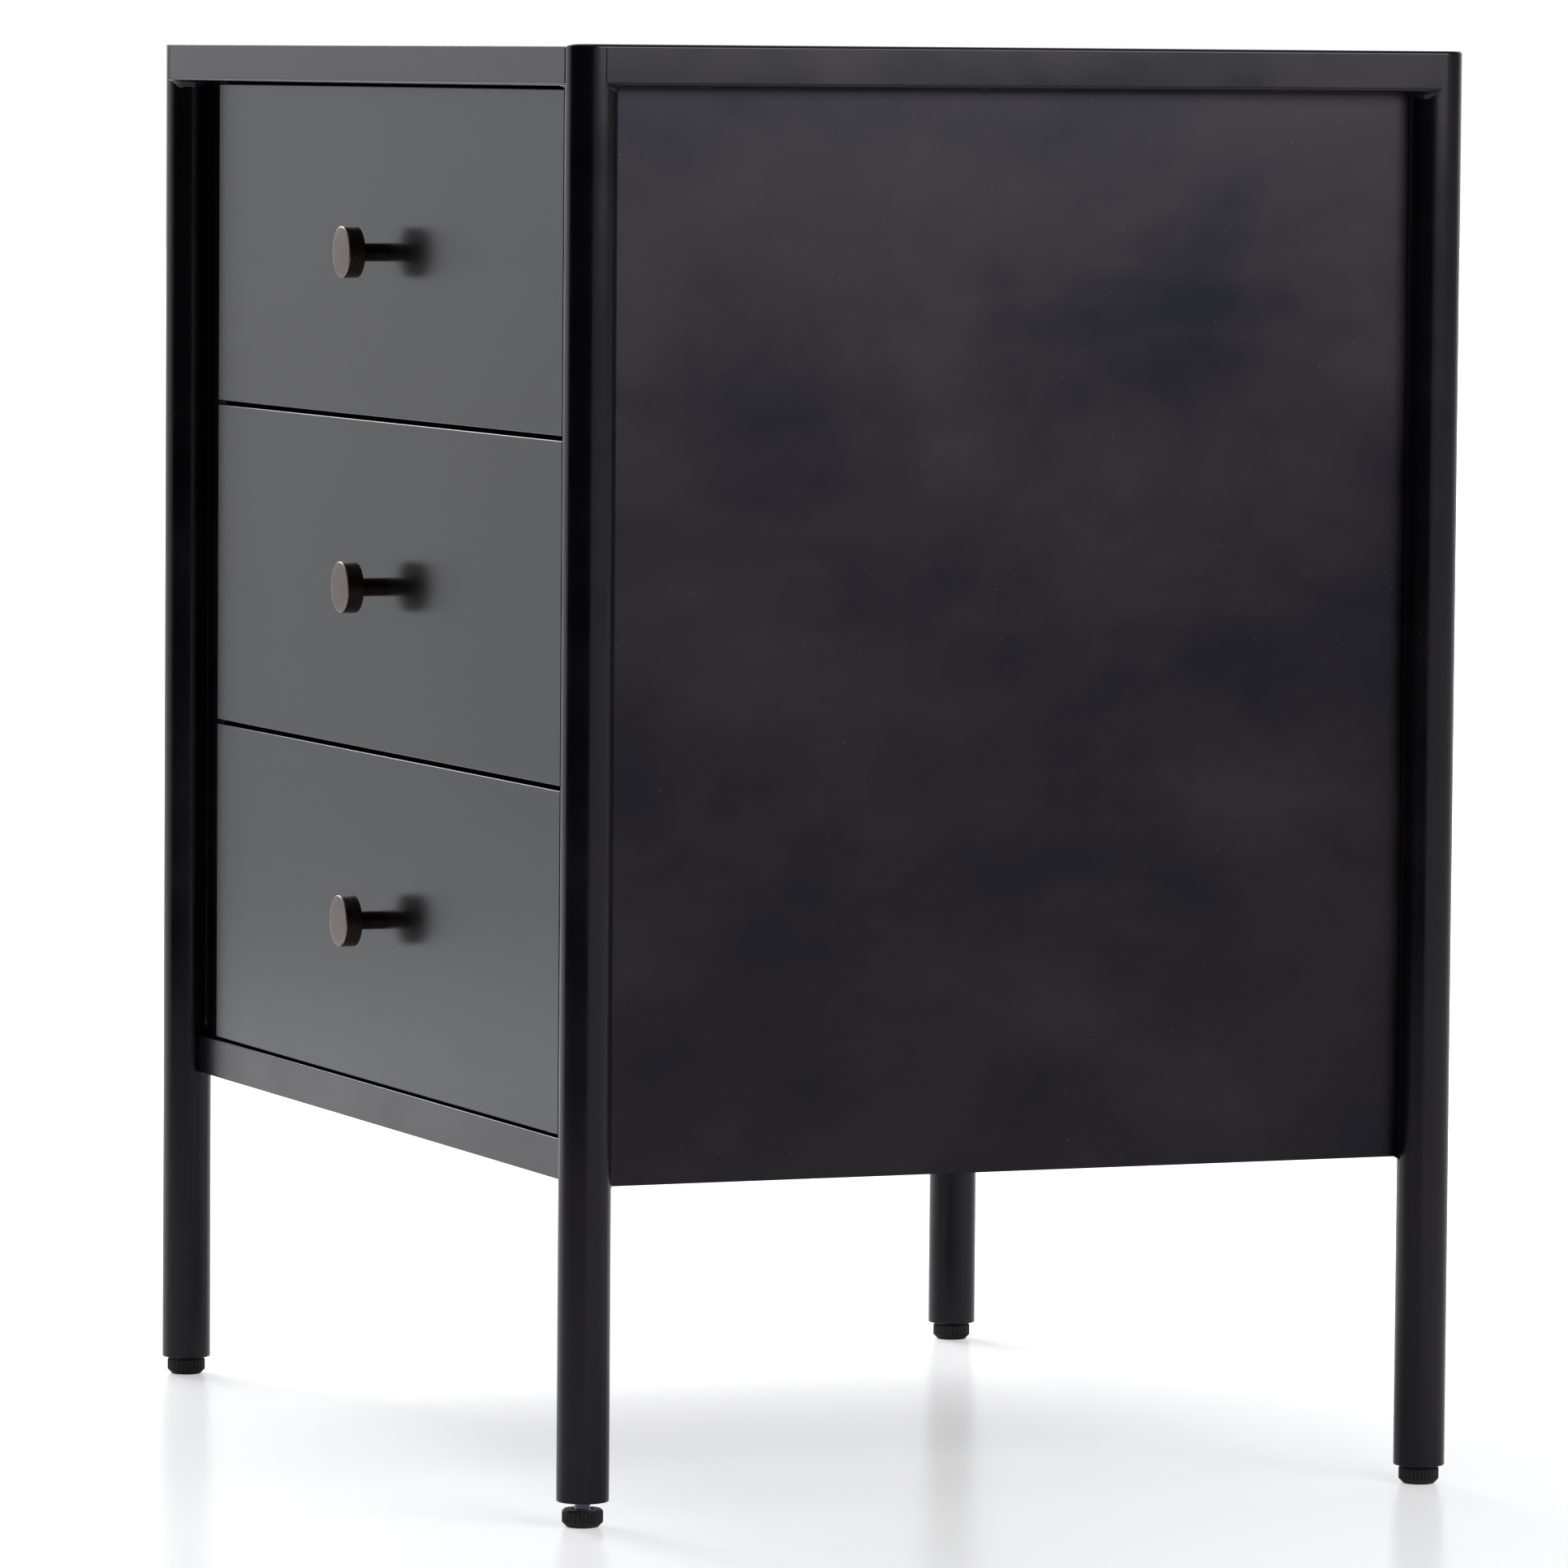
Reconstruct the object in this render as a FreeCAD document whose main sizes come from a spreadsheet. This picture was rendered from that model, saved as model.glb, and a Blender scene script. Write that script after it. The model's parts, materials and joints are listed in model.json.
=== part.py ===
"""Three-drawer nightstand: a welded tube frame with a sheet-metal case between its posts.

Units are millimetres, +Z is up and the drawers open towards -Y. The origin is on the
floor, at the middle of the whole object's footprint, knobs included.
"""
import FreeCAD, Part
import os
import re
import Sketcher

DOCUMENT = FreeCAD.newDocument("nightstand")
SHEET = DOCUMENT.addObject("Spreadsheet::Sheet", "sizes")

# ---------------------------------------------------------------- driving dimensions

SIZES = {
    # overall
    "frame_width": 614,
    "frame_depth": 471,
    "overall_height": 710,
    "case_clearance": 163,
    # posts and their threaded plugs
    "post_diameter": 25.4,
    "post_wall": 1.5,
    "post_edge_radius": 0.6,
    "pad_gap": 0.7,
    "short_leg": 3,
    "plug_length": 14,
    # top rails and top sheet
    "top_thickness": 2,
    "top_edge_radius": 1.6,
    "top_rail_height": 18,
    "top_rail_depth": 18,
    "rail_wall": 1.5,
    "rail_edge_radius": 2,
    "rail_end_inset": 3,
    # bottom rails
    "bottom_rail_height": 20,
    "bottom_rail_depth": 16,
    "bottom_rail_setback": 2,
    "bottom_rail_edge_radius": 0.8,
    # case sheets and stiles
    "panel_thickness": 1.5,
    "panel_flange": 14,
    "stile_setback": 7,
    "stile_reach": 32.5,
    "stile_depth": 40,
    "stile_wall": 1.5,
    # drawer fronts
    "drawer_setback": 2,
    "side_gap": 2,
    "end_gap": 1.6,
    "front_gap": 2.2,
    "front_depth": 18,
    "front_skin": 1.2,
    "front_edge_radius": 0.6,
    "board_play": 0.1,
    # drawer boxes
    "box_drop": 24,
    "box_rise": 22,
    "box_wall": 12,
    "box_rear_gap": 16.3,
    "bottom_thickness": 6,
    "bottom_rise": 10,
    "groove_depth": 6,
    "groove_play": 0.2,
    # ball-bearing slides
    "slide_thickness": 12.7,
    "slide_height": 45,
    "slide_wall": 1.2,
    "slide_front_gap": 2,
    "race_gap": 2,
    "outer_reach": 9,
    "middle_offset": 2,
    "middle_reach": 8.5,
    "inner_reach": 8.5,
    "slide_screw_diameter": 4,
    "slide_screw_inset": 14,
    "slide_screw_head": 7,
    "slide_screw_head_height": 0.6,
    "slide_screw_tail": 2.5,
    "screw_play": 0.1,
    # knobs and their screws
    "knob_diameter": 26,
    "knob_disc": 9,
    "knob_stem_diameter": 9.4,
    "knob_length": 22.8,
    "knob_edge": 0.5,
    "knob_screw_diameter": 4,
    "knob_screw_bite": 8,
    "knob_bore_spare": 1,
    "knob_screw_head": 8,
    "knob_screw_head_height": 2.6,
    "counterbore_diameter": 11,
    "counterbore_depth": 4,
    # levelling feet
    "pad_diameter": 20,
    "pad_height": 8.6,
    "pad_top_chamfer": 1,
    "pad_bottom_chamfer": 2.4,
    "flute_diameter": 1.6,
    "flute_offset": 0.4,
    "flute_count": 26,
    "stud_diameter": 8,
    "stud_length": 34,
    "stud_seat": 3,
    "stud_chamfer": 0.8,
    "thread_play": 0.05,
}

# ------------------------------------------------------------------- derived places

DERIVED = {
    "post_radius": "post_diameter / 2",
    "post_x": "frame_width / 2 - post_radius",
    "knob_overhang": "knob_length - drawer_setback - post_radius",
    "frame_centre_y": "max(knob_overhang; 0) / 2",
    "front_post_y": "frame_centre_y - frame_depth / 2 + post_radius",
    "rear_post_y": "frame_centre_y + frame_depth / 2 - post_radius",
    "post_spacing_y": "frame_depth - post_diameter",
    "leg_bottom_z": "pad_height + pad_gap",
    "top_z": "overall_height - top_thickness",
    "top_rail_z": "top_z - top_rail_height",
    "opening_low_z": "case_clearance + bottom_rail_height",
    # outer and inner faces of the case sheets
    "panel_inset": "top_rail_depth - post_radius",
    "panel_x": "post_x - panel_inset",
    "panel_inner_x": "panel_x - panel_thickness",
    "panel_chord": "sqrt(post_radius ^ 2 - panel_inset ^ 2)",
    "back_inner_y": "rear_post_y - panel_inset - panel_thickness",
    "front_rail_back_y": "front_post_y + bottom_rail_setback + bottom_rail_depth",
    "rear_rail_front_y": "back_inner_y - bottom_rail_depth",
    # drawer opening and fronts
    "opening_x": "panel_inner_x - stile_reach",
    "opening_height": "top_rail_z - opening_low_z",
    "face_y": "front_post_y + drawer_setback",
    "stile_face_y": "front_post_y + stile_setback",
    "box_front_y": "face_y + front_depth",
    "front_width": "2 * (opening_x - side_gap)",
    "front_height": "(opening_height - 2 * end_gap - 2 * front_gap) / 3",
    "drawer_pitch": "front_height + front_gap",
    "first_drawer_z": "opening_low_z + end_gap",
    "board_width": "front_width - 2 * front_skin - 2 * board_play",
    "board_height": "front_height - 2 * front_skin - 2 * board_play",
    "board_depth": "front_depth - front_skin",
    # drawer boxes and slides
    "box_height": "front_height - box_rise - box_drop",
    "box_length": "back_inner_y - box_rear_gap - box_front_y",
    "slide_length": "box_length",
    "box_x": "opening_x - slide_thickness",
    "box_inner_x": "box_x - box_wall",
    "box_centre_y": "box_front_y + box_length / 2",
    "slide_front_y": "box_front_y + slide_front_gap",
    "slide_centre_y": "slide_front_y + slide_length / 2",
    "slide_rise": "box_rise + box_height / 2",
    "middle_height": "slide_height - 2 * slide_wall - 2 * race_gap",
    "inner_height": "middle_height - 2 * slide_wall - 2 * race_gap",
    "slide_screw_hole": "slide_screw_diameter + 2 * screw_play",
    "knob_screw_hole": "knob_screw_diameter + 2 * screw_play",
    "knob_screw_grip": "front_depth - counterbore_depth",
}

DRAWERS = {"bottom": 0, "middle": 1, "top": 2}
SIDES = {"left": -1, "right": 1}
OUTWARD = FreeCAD.Rotation(FreeCAD.Vector(1, 0, 0), 90)  # turns local +Z to -Y
TO_LEFT = FreeCAD.Rotation(FreeCAD.Vector(0, 1, 0), -90)  # turns local +Z to -X
NODES = []


def fill_sheet():
    """Write each driving dimension and its alias into the sheet."""
    for row, (alias, number) in enumerate(SIZES.items(), start=1):
        SHEET.set(f"A{row}", alias)
        SHEET.set(f"B{row}", str(number))
        SHEET.setAlias(f"B{row}", alias)
    DOCUMENT.recompute()


def expand(text):
    """Turn size words into sheet references and derived words into their expressions."""
    def swap(match):
        word = match.group(0)
        if word in SIZES:
            return f"sizes.{word}"
        if word in DERIVED:
            return f"({expand(DERIVED[word])})"
        return word
    return re.sub(r"[a-z][a-z0-9_]*", swap, text)


def value(text):
    """The present number of an expression."""
    return float(SHEET.evalExpression(expand(text)))


def bind(item, **expressions):
    """Bind properties of an object to expressions in size words."""
    for name, text in expressions.items():
        item.setExpression(name, expand(text))


# ------------------------------------------------------------------ sketch helpers

def new_body(label):
    """An empty body with its own label."""
    body = DOCUMENT.addObject("PartDesign::Body", label)
    body.Label = label
    return body


def place(item, x="0", y="0", z="0", turn=None):
    """Bind an object's position, after an optional fixed turn."""
    if turn is not None:
        item.Placement = FreeCAD.Placement(FreeCAD.Vector(), turn)
    for axis, text in zip("xyz", (x, y, z)):
        item.setExpression(f"Placement.Base.{axis}", expand(text))


def new_sketch(body, role, lift="0"):
    """A sketch on one of the body's origin planes, lifted along the plane's normal."""
    sketch = body.newObject("Sketcher::SketchObject", "outline")
    plane = next(item for item in body.Origin.OriginFeatures if item.Role == role)
    sketch.AttachmentSupport = [(plane, "")]
    sketch.MapMode = "FlatFace"
    if lift != "0":
        sketch.setExpression("AttachmentOffset.Base.z", expand(lift))
    return sketch


def bind_last(sketch, text):
    """Bind the sketch's newest constraint to an expression."""
    index = sketch.ConstraintCount - 1
    sketch.setExpression(f"Constraints[{index}]", expand(text))


def pin_coordinate(sketch, kind, axis, curve, point, text):
    """Hold one coordinate of a point at an expression, on whichever side of the origin."""
    number = value(text)
    if abs(number) < 1e-9:
        sketch.addConstraint(Sketcher.Constraint("PointOnObject", curve, point, axis))
        return
    if number > 0:
        sketch.addConstraint(Sketcher.Constraint(kind, -1, 1, curve, point, number))
        bind_last(sketch, text)
    else:
        sketch.addConstraint(Sketcher.Constraint(kind, curve, point, -1, 1, -number))
        bind_last(sketch, f"-({text})")


def draw_polygon(sketch, points):
    """A closed outline through points whose coordinates are expressions."""
    corners = [FreeCAD.Vector(value(x), value(y), 0) for x, y in points]
    first = sketch.GeometryCount
    for index, corner in enumerate(corners):
        following = corners[(index + 1) % len(corners)]
        sketch.addGeometry(Part.LineSegment(corner, following), False)
    for index, (x, y) in enumerate(points):
        curve = first + index
        following = first + (index + 1) % len(points)
        sketch.addConstraint(Sketcher.Constraint("Coincident", curve, 2, following, 1))
        pin_coordinate(sketch, "DistanceX", -2, curve, 1, x)
        pin_coordinate(sketch, "DistanceY", -1, curve, 1, y)


def draw_rectangle(sketch, x_low, x_high, y_low, y_high):
    """A rectangle between four expressions."""
    draw_polygon(sketch, [(x_low, y_low), (x_high, y_low), (x_high, y_high), (x_low, y_high)])


def draw_circle(sketch, diameter, x="0", y="0"):
    """A circle whose diameter and centre are expressions."""
    centre = FreeCAD.Vector(value(x), value(y), 0)
    circle = Part.Circle(centre, FreeCAD.Vector(0, 0, 1), value(diameter) / 2)
    curve = sketch.addGeometry(circle, False)
    pin_coordinate(sketch, "DistanceX", -2, curve, 3, x)
    pin_coordinate(sketch, "DistanceY", -1, curve, 3, y)
    sketch.addConstraint(Sketcher.Constraint("Diameter", curve, value(diameter)))
    bind_last(sketch, diameter)


# ----------------------------------------------------------------- feature helpers

def add_pad(body, sketch, length, symmetric=False, reverse=False):
    """Extrude a sketch by a bound length."""
    pad = body.newObject("PartDesign::Pad", "pad")
    pad.Profile = sketch
    pad.SideType = "Symmetric" if symmetric else "One side"
    pad.Reversed = reverse
    bind(pad, Length=length)
    DOCUMENT.recompute()
    return pad


def add_cut(body, sketch, length=None, reverse=False):
    """Cut a sketch through everything both ways, or to a bound depth one way."""
    before = body.Shape.Volume
    pocket = body.newObject("PartDesign::Pocket", "pocket")
    pocket.Profile = sketch
    pocket.Reversed = reverse
    if length is None:
        pocket.SideType = "Symmetric"
        pocket.Type = "ThroughAll"
    else:
        bind(pocket, Length=length)
    DOCUMENT.recompute()
    if body.Shape.Volume >= before:
        raise RuntimeError(f"{body.Label}: a cut removed nothing")
    return pocket


def add_revolution(body, points):
    """Turn a half profile, drawn in the XZ plane, about local Z."""
    sketch = new_sketch(body, "XZ_Plane")
    draw_polygon(sketch, points)
    turned = body.newObject("PartDesign::Revolution", "turned")
    turned.Profile = sketch
    turned.ReferenceAxis = (sketch, ["V_Axis"])
    turned.Angle = 360
    DOCUMENT.recompute()
    return turned


def add_fillet(body, radius, wanted):
    """Round the edges of the body that a test on each edge picks out."""
    base = body.Tip
    names = [f"Edge{n}" for n, edge in enumerate(base.Shape.Edges, start=1) if wanted(edge)]
    fillet = body.newObject("PartDesign::Fillet", "fillet")
    fillet.Base = (base, names)
    bind(fillet, Radius=radius)
    DOCUMENT.recompute()
    return fillet


def runs_along(edge, axis):
    """Whether an edge is a straight line along one axis of the body."""
    if not isinstance(edge.Curve, Part.Line):
        return False
    return abs(abs(edge.Curve.Direction.dot(axis)) - 1) < 1e-6


def keep(item):
    """Note an object as a sub-part that gets its own file."""
    NODES.append(item)
    return item


def slab(label, width, depth, height, **position):
    """A plain board: local origin at the middle of its underside."""
    body = new_body(label)
    sketch = new_sketch(body, "XY_Plane")
    draw_rectangle(sketch, f"-({width}) / 2", f"({width}) / 2", f"-({depth}) / 2", f"({depth}) / 2")
    add_pad(body, sketch, height)
    place(body, **position)
    return body


def mirrored(label, source):
    """The same piece on the other side of the object's middle plane."""
    copy = DOCUMENT.addObject("Part::Mirroring", label)
    copy.Label = label
    copy.Source = source
    copy.Normal = FreeCAD.Vector(1, 0, 0)
    return copy


def group(label, pieces):
    """Several separate identical pieces in one sub-part."""
    compound = DOCUMENT.addObject("Part::Compound", label)
    compound.Label = label
    compound.Links = pieces
    return keep(compound)


# --------------------------------------------------------------------------- frame

def leg_places():
    """Name, place and extra lift of each leg; the front right one is cut shorter."""
    for side, sign in SIDES.items():
        for end in ("front", "rear"):
            lift = "short_leg" if (end, side) == ("front", "right") else "0"
            yield f"{end}_{side}", f"{sign} * post_x", f"{end}_post_y", lift


def make_leg(name, x, y, lift):
    """Round tube from just above its foot pad to the top sheet."""
    body = new_body(f"leg_{name}")
    sketch = new_sketch(body, "XY_Plane")
    draw_circle(sketch, "post_diameter")
    draw_circle(sketch, "post_diameter - 2 * post_wall")
    add_pad(body, sketch, f"top_z - leg_bottom_z - {lift}")
    outer = value("post_radius")

    def is_lower_rim(edge):
        return (isinstance(edge.Curve, Part.Circle) and abs(edge.Curve.Radius - outer) < 1e-6
                and edge.BoundBox.ZMax < 1e-6)
    add_fillet(body, "post_edge_radius", is_lower_rim)
    place(body, x, y, f"leg_bottom_z + {lift}")
    keep(body)


def make_leg_plug(name, x, y, lift):
    """Disc welded inside a leg's lower end, threaded for its foot."""
    body = new_body(f"plug_{name}")
    sketch = new_sketch(body, "XY_Plane")
    draw_circle(sketch, "post_diameter - 2 * post_wall")
    draw_circle(sketch, "stud_diameter + 2 * thread_play")
    add_pad(body, sketch, "plug_length")
    place(body, x, y, f"leg_bottom_z + {lift} + post_edge_radius")
    return body


def make_top_rail(label, spacing, x, y, angle):
    """Square tube between two posts, flush with their outsides; its upper edges are sheeted over."""
    body = new_body(label)
    profile = new_sketch(body, "YZ_Plane")
    outer_y = "top_rail_depth - post_radius"
    draw_rectangle(profile, "-post_radius", outer_y, "0", "top_rail_height")
    draw_rectangle(profile, "rail_wall - post_radius", f"{outer_y} - rail_wall",
                   "rail_wall", "top_rail_height - rail_wall")
    add_pad(body, profile, f"{spacing} - 2 * rail_end_inset", symmetric=True)
    add_fillet(body, "rail_edge_radius",
               lambda edge: runs_along(edge, FreeCAD.Vector(1, 0, 0)) and edge.BoundBox.ZMax < 1e-6)
    cope = new_sketch(body, "XY_Plane")
    for sign in SIDES.values():
        draw_circle(cope, "post_diameter", x=f"{sign} * {spacing} / 2")
    add_cut(body, cope)
    place(body, x, y, "top_rail_z", FreeCAD.Rotation(FreeCAD.Vector(0, 0, 1), angle))
    keep(body)


def make_bottom_rail(label, y, setback, angle):
    """Square tube across the case's foot, coped to the two posts it passes."""
    body = new_body(label)
    profile = new_sketch(body, "YZ_Plane")
    draw_rectangle(profile, setback, f"{setback} + bottom_rail_depth", "0", "bottom_rail_height")
    draw_rectangle(profile, f"{setback} + rail_wall", f"{setback} + bottom_rail_depth - rail_wall",
                   "rail_wall", "bottom_rail_height - rail_wall")
    add_pad(body, profile, "2 * panel_inner_x", symmetric=True)
    face_y = value(setback)
    add_fillet(body, "bottom_rail_edge_radius",
               lambda edge: runs_along(edge, FreeCAD.Vector(1, 0, 0))
               and abs(edge.BoundBox.Center.y - face_y) < 1e-6)
    cope = new_sketch(body, "XY_Plane")
    for sign in SIDES.values():
        draw_circle(cope, "post_diameter", x=f"{sign} * post_x")
    add_cut(body, cope)
    place(body, "0", y, "case_clearance", FreeCAD.Rotation(FreeCAD.Vector(0, 0, 1), angle))
    keep(body)


def make_top_panel():
    """Top sheet with its corners rounded to the posts."""
    body = slab("top_panel", "frame_width", "frame_depth", "top_thickness",
                y="frame_centre_y", z="top_z")
    add_fillet(body, "post_radius", lambda edge: runs_along(edge, FreeCAD.Vector(0, 0, 1)))
    top = value("top_thickness")
    add_fillet(body, "top_edge_radius", lambda edge: edge.BoundBox.ZMin > top - 1e-6)
    keep(body)


def make_side_panels():
    """Side sheets between the posts, each with a flange folded in under the case."""
    body = new_body("side_panel_right")
    sheet = new_sketch(body, "XY_Plane")
    half_length = "(post_spacing_y / 2 - panel_chord)"
    draw_rectangle(sheet, "-panel_thickness", "0", f"-{half_length}", half_length)
    add_pad(body, sheet, "top_z - case_clearance")
    fold = new_sketch(body, "XY_Plane")
    draw_rectangle(fold, "-panel_thickness - panel_flange", "-panel_thickness / 2",
                   "front_rail_back_y - frame_centre_y", "rear_rail_front_y - frame_centre_y")
    add_pad(body, fold, "panel_thickness")
    place(body, "panel_x", "frame_centre_y", "case_clearance")
    keep(body)
    keep(mirrored("side_panel_left", body))


def make_back_panel():
    """Back sheet between the rear posts."""
    chord_width = "2 * (post_x - panel_chord)"
    keep(slab("back_panel", chord_width, "panel_thickness", "top_z - case_clearance",
              y="back_inner_y + panel_thickness / 2", z="case_clearance"))


def make_bottom_panel():
    """Bottom sheet resting on the side flanges, between the two bottom rails."""
    keep(slab("bottom_panel", "2 * panel_inner_x", "rear_rail_front_y - front_rail_back_y",
              "panel_thickness", y="(rear_rail_front_y + front_rail_back_y) / 2",
              z="case_clearance + panel_thickness"))


def make_stiles():
    """Folded angles at the corners of the drawer opening that carry the slides."""
    reaches = {
        "front": "post_x - opening_x - sqrt(post_radius ^ 2 - stile_setback ^ 2)",
        "rear": "post_x - opening_x - sqrt(post_radius ^ 2 - (rear_post_y - back_inner_y) ^ 2)",
    }
    starts = {"front": "stile_face_y", "rear": "back_inner_y"}
    screw_from_slide_end = {
        "front": "slide_front_y + slide_screw_inset - stile_face_y",
        "rear": "back_inner_y - slide_front_y - slide_length + slide_screw_inset",
    }
    for end, sign in (("front", 1), ("rear", -1)):
        body = new_body(f"stile_{end}_right")
        profile = new_sketch(body, "XY_Plane")
        inner, outer = f"{sign} * stile_wall", f"{sign} * stile_depth"
        draw_polygon(profile, [("0", "0"), (reaches[end], "0"), (reaches[end], inner),
                               ("stile_wall", inner), ("stile_wall", outer), ("0", outer)])
        add_pad(body, profile, "opening_height")
        holes = new_sketch(body, "YZ_Plane")
        for number in DRAWERS.values():
            draw_circle(holes, "slide_screw_hole", x=f"{sign} * ({screw_from_slide_end[end]})",
                        y=f"end_gap + {number} * drawer_pitch + slide_rise")
        add_cut(body, holes)
        place(body, "opening_x", starts[end], "opening_low_z")
        keep(body)
        keep(mirrored(f"stile_{end}_left", body))


# -------------------------------------------------------------------------- slides

def channel(label, number, height, face_x, open_towards, reach, holed=False):
    """One C-shaped slide member on the right-hand side, centred on its length."""
    body = new_body(label)
    profile = new_sketch(body, "XZ_Plane")
    tip, wall = f"{open_towards} * {reach}", f"{open_towards} * slide_wall"
    half, inside = f"{height} / 2", f"({height} / 2 - slide_wall)"
    draw_polygon(profile, [("0", f"-{half}"), (tip, f"-{half}"), (tip, f"-{inside}"),
                           (wall, f"-{inside}"), (wall, inside), (tip, inside),
                           (tip, half), ("0", half)])
    add_pad(body, profile, "slide_length", symmetric=True)
    if holed:
        holes = new_sketch(body, "YZ_Plane")
        for sign in (-1, 1):
            draw_circle(holes, "slide_screw_hole",
                        x=f"{sign} * (slide_length / 2 - slide_screw_inset)")
        add_cut(body, holes)
    place(body, face_x, "slide_centre_y", f"first_drawer_z + {number} * drawer_pitch + slide_rise")
    return body


def make_slide_members():
    """Outer members on the stiles, middle members between, inner members on the boxes."""
    outer_members = []
    for drawer, number in DRAWERS.items():
        outer = channel(f"slide_outer_{drawer}", number, "slide_height", "opening_x", -1,
                        "outer_reach", holed=True)
        outer_members += [outer, mirrored(f"slide_outer_{drawer}_left", outer)]
        middle = channel(f"slide_middle_{drawer}_right", number, "middle_height",
                         "opening_x - middle_offset", -1, "middle_reach")
        inner = channel(f"slide_inner_{drawer}_right", number, "inner_height", "box_x", 1,
                        "inner_reach")
        group(f"slide_middle_{drawer}", [middle, mirrored(f"slide_middle_{drawer}_left", middle)])
        group(f"slide_inner_{drawer}", [inner, mirrored(f"slide_inner_{drawer}_left", inner)])
    group("slide_outer_members", outer_members)


def make_slide_screws():
    """Low-head screws that fix each outer member to its two stiles."""
    screws = []
    for drawer, number in DRAWERS.items():
        for end, place_y in (("front", "slide_front_y + slide_screw_inset"),
                             ("rear", "slide_front_y + slide_length - slide_screw_inset")):
            body = new_body(f"slide_screw_{drawer}_{end}")
            shank = "slide_screw_diameter / 2"
            head = "slide_screw_head / 2"
            add_revolution(body, [("0", "slide_screw_head_height"), ("0", "-slide_screw_tail"),
                                  (shank, "-slide_screw_tail"), (shank, "0"), (head, "0"),
                                  (head, "slide_screw_head_height")])
            place(body, "opening_x - slide_wall", place_y,
                  f"first_drawer_z + {number} * drawer_pitch + slide_rise", TO_LEFT)
            screws += [body, mirrored(f"slide_screw_{drawer}_{end}_left", body)]
    group("slide_screws", screws)


# ------------------------------------------------------------------------- drawers

def make_drawer_front(drawer, centre_z):
    """Folded metal pan: a face with four returned edges and a hole for the knob's screw."""
    body = new_body(f"drawer_front_{drawer}")
    outline = new_sketch(body, "XZ_Plane")
    draw_rectangle(outline, "-front_width / 2", "front_width / 2",
                   "-front_height / 2", "front_height / 2")
    add_pad(body, outline, "front_depth", reverse=True)
    add_fillet(body, "front_edge_radius", lambda edge: edge.BoundBox.YMax < 1e-6)
    hollow = new_sketch(body, "XZ_Plane", lift="-front_skin")
    draw_rectangle(hollow, "-front_width / 2 + front_skin", "front_width / 2 - front_skin",
                   "-front_height / 2 + front_skin", "front_height / 2 - front_skin")
    add_cut(body, hollow, length="front_depth")
    hole = new_sketch(body, "XZ_Plane")
    draw_circle(hole, "knob_screw_hole")
    add_cut(body, hole)
    place(body, "0", "face_y", centre_z)
    keep(body)


def make_drawer_board(drawer, centre_z):
    """Board that fills the pan, counterbored from behind for the knob's screw."""
    body = new_body(f"drawer_board_{drawer}")
    outline = new_sketch(body, "XZ_Plane")
    draw_rectangle(outline, "-board_width / 2", "board_width / 2",
                   "-board_height / 2", "board_height / 2")
    add_pad(body, outline, "board_depth", reverse=True)
    hole = new_sketch(body, "XZ_Plane")
    draw_circle(hole, "knob_screw_hole")
    add_cut(body, hole)
    seat = new_sketch(body, "XZ_Plane", lift="counterbore_depth - board_depth")
    draw_circle(seat, "counterbore_diameter")
    add_cut(body, seat, length="board_depth")
    place(body, "0", "face_y + front_skin", centre_z)
    keep(body)


def make_drawer_box(drawer, low_z):
    """Two grooved sides, a bottom held in their grooves and a back that sits on it."""
    right = slab(f"drawer_side_{drawer}_right", "box_wall", "box_length", "box_height",
                 x="box_x - box_wall / 2", y="box_centre_y", z=f"{low_z} + box_rise")
    groove = new_sketch(right, "XZ_Plane")
    draw_rectangle(groove, "-box_wall / 2", "groove_depth - box_wall / 2", "bottom_rise",
                   "bottom_rise + bottom_thickness + groove_play")
    add_cut(right, groove)
    keep(right)
    keep(mirrored(f"drawer_side_{drawer}_left", right))
    keep(slab(f"drawer_bottom_{drawer}", "2 * (box_inner_x + groove_depth - groove_play)",
              "box_length", "bottom_thickness", y="box_centre_y",
              z=f"{low_z} + box_rise + bottom_rise"))
    keep(slab(f"drawer_back_{drawer}", "2 * box_inner_x", "box_wall",
              "box_height - bottom_rise - bottom_thickness",
              y="box_front_y + box_length - box_wall / 2",
              z=f"{low_z} + box_rise + bottom_rise + bottom_thickness"))


def make_knob(drawer, centre_z):
    """Turned knob: a disc on a plain stem, bored for its screw."""
    body = new_body(f"knob_{drawer}")
    stem, disc = "knob_stem_diameter / 2", "knob_diameter / 2"
    bore = "(knob_screw_hole / 2)"
    disc_start = "knob_length - knob_disc"
    bore_end = "knob_screw_bite + knob_bore_spare"
    add_revolution(body, [(bore, "0"), (stem, "0"), (stem, disc_start),
                          (f"{disc} - knob_edge", disc_start), (disc, f"{disc_start} + knob_edge"),
                          (disc, "knob_length - knob_edge"), (f"{disc} - knob_edge", "knob_length"),
                          ("0", "knob_length"), ("0", bore_end), (bore, bore_end)])
    place(body, "0", "face_y", centre_z, OUTWARD)
    keep(body)


def make_knob_screw(drawer, centre_z):
    """Pan-head screw from inside the drawer front into the knob."""
    body = new_body(f"knob_screw_{drawer}")
    shank, head = "knob_screw_diameter / 2", "knob_screw_head / 2"
    add_revolution(body, [("0", "-knob_screw_head_height"), (head, "-knob_screw_head_height"),
                          (head, "0"), (shank, "0"), (shank, "knob_screw_grip + knob_screw_bite"),
                          ("0", "knob_screw_grip + knob_screw_bite")])
    place(body, "0", "face_y + knob_screw_grip", centre_z, OUTWARD)
    keep(body)


def make_drawers():
    """Every piece of the three drawers."""
    for drawer, number in DRAWERS.items():
        low_z = f"(first_drawer_z + {number} * drawer_pitch)"
        centre_z = f"({low_z} + front_height / 2)"
        make_drawer_front(drawer, centre_z)
        make_drawer_board(drawer, centre_z)
        make_drawer_box(drawer, low_z)
        make_knob(drawer, centre_z)
        make_knob_screw(drawer, centre_z)


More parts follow.
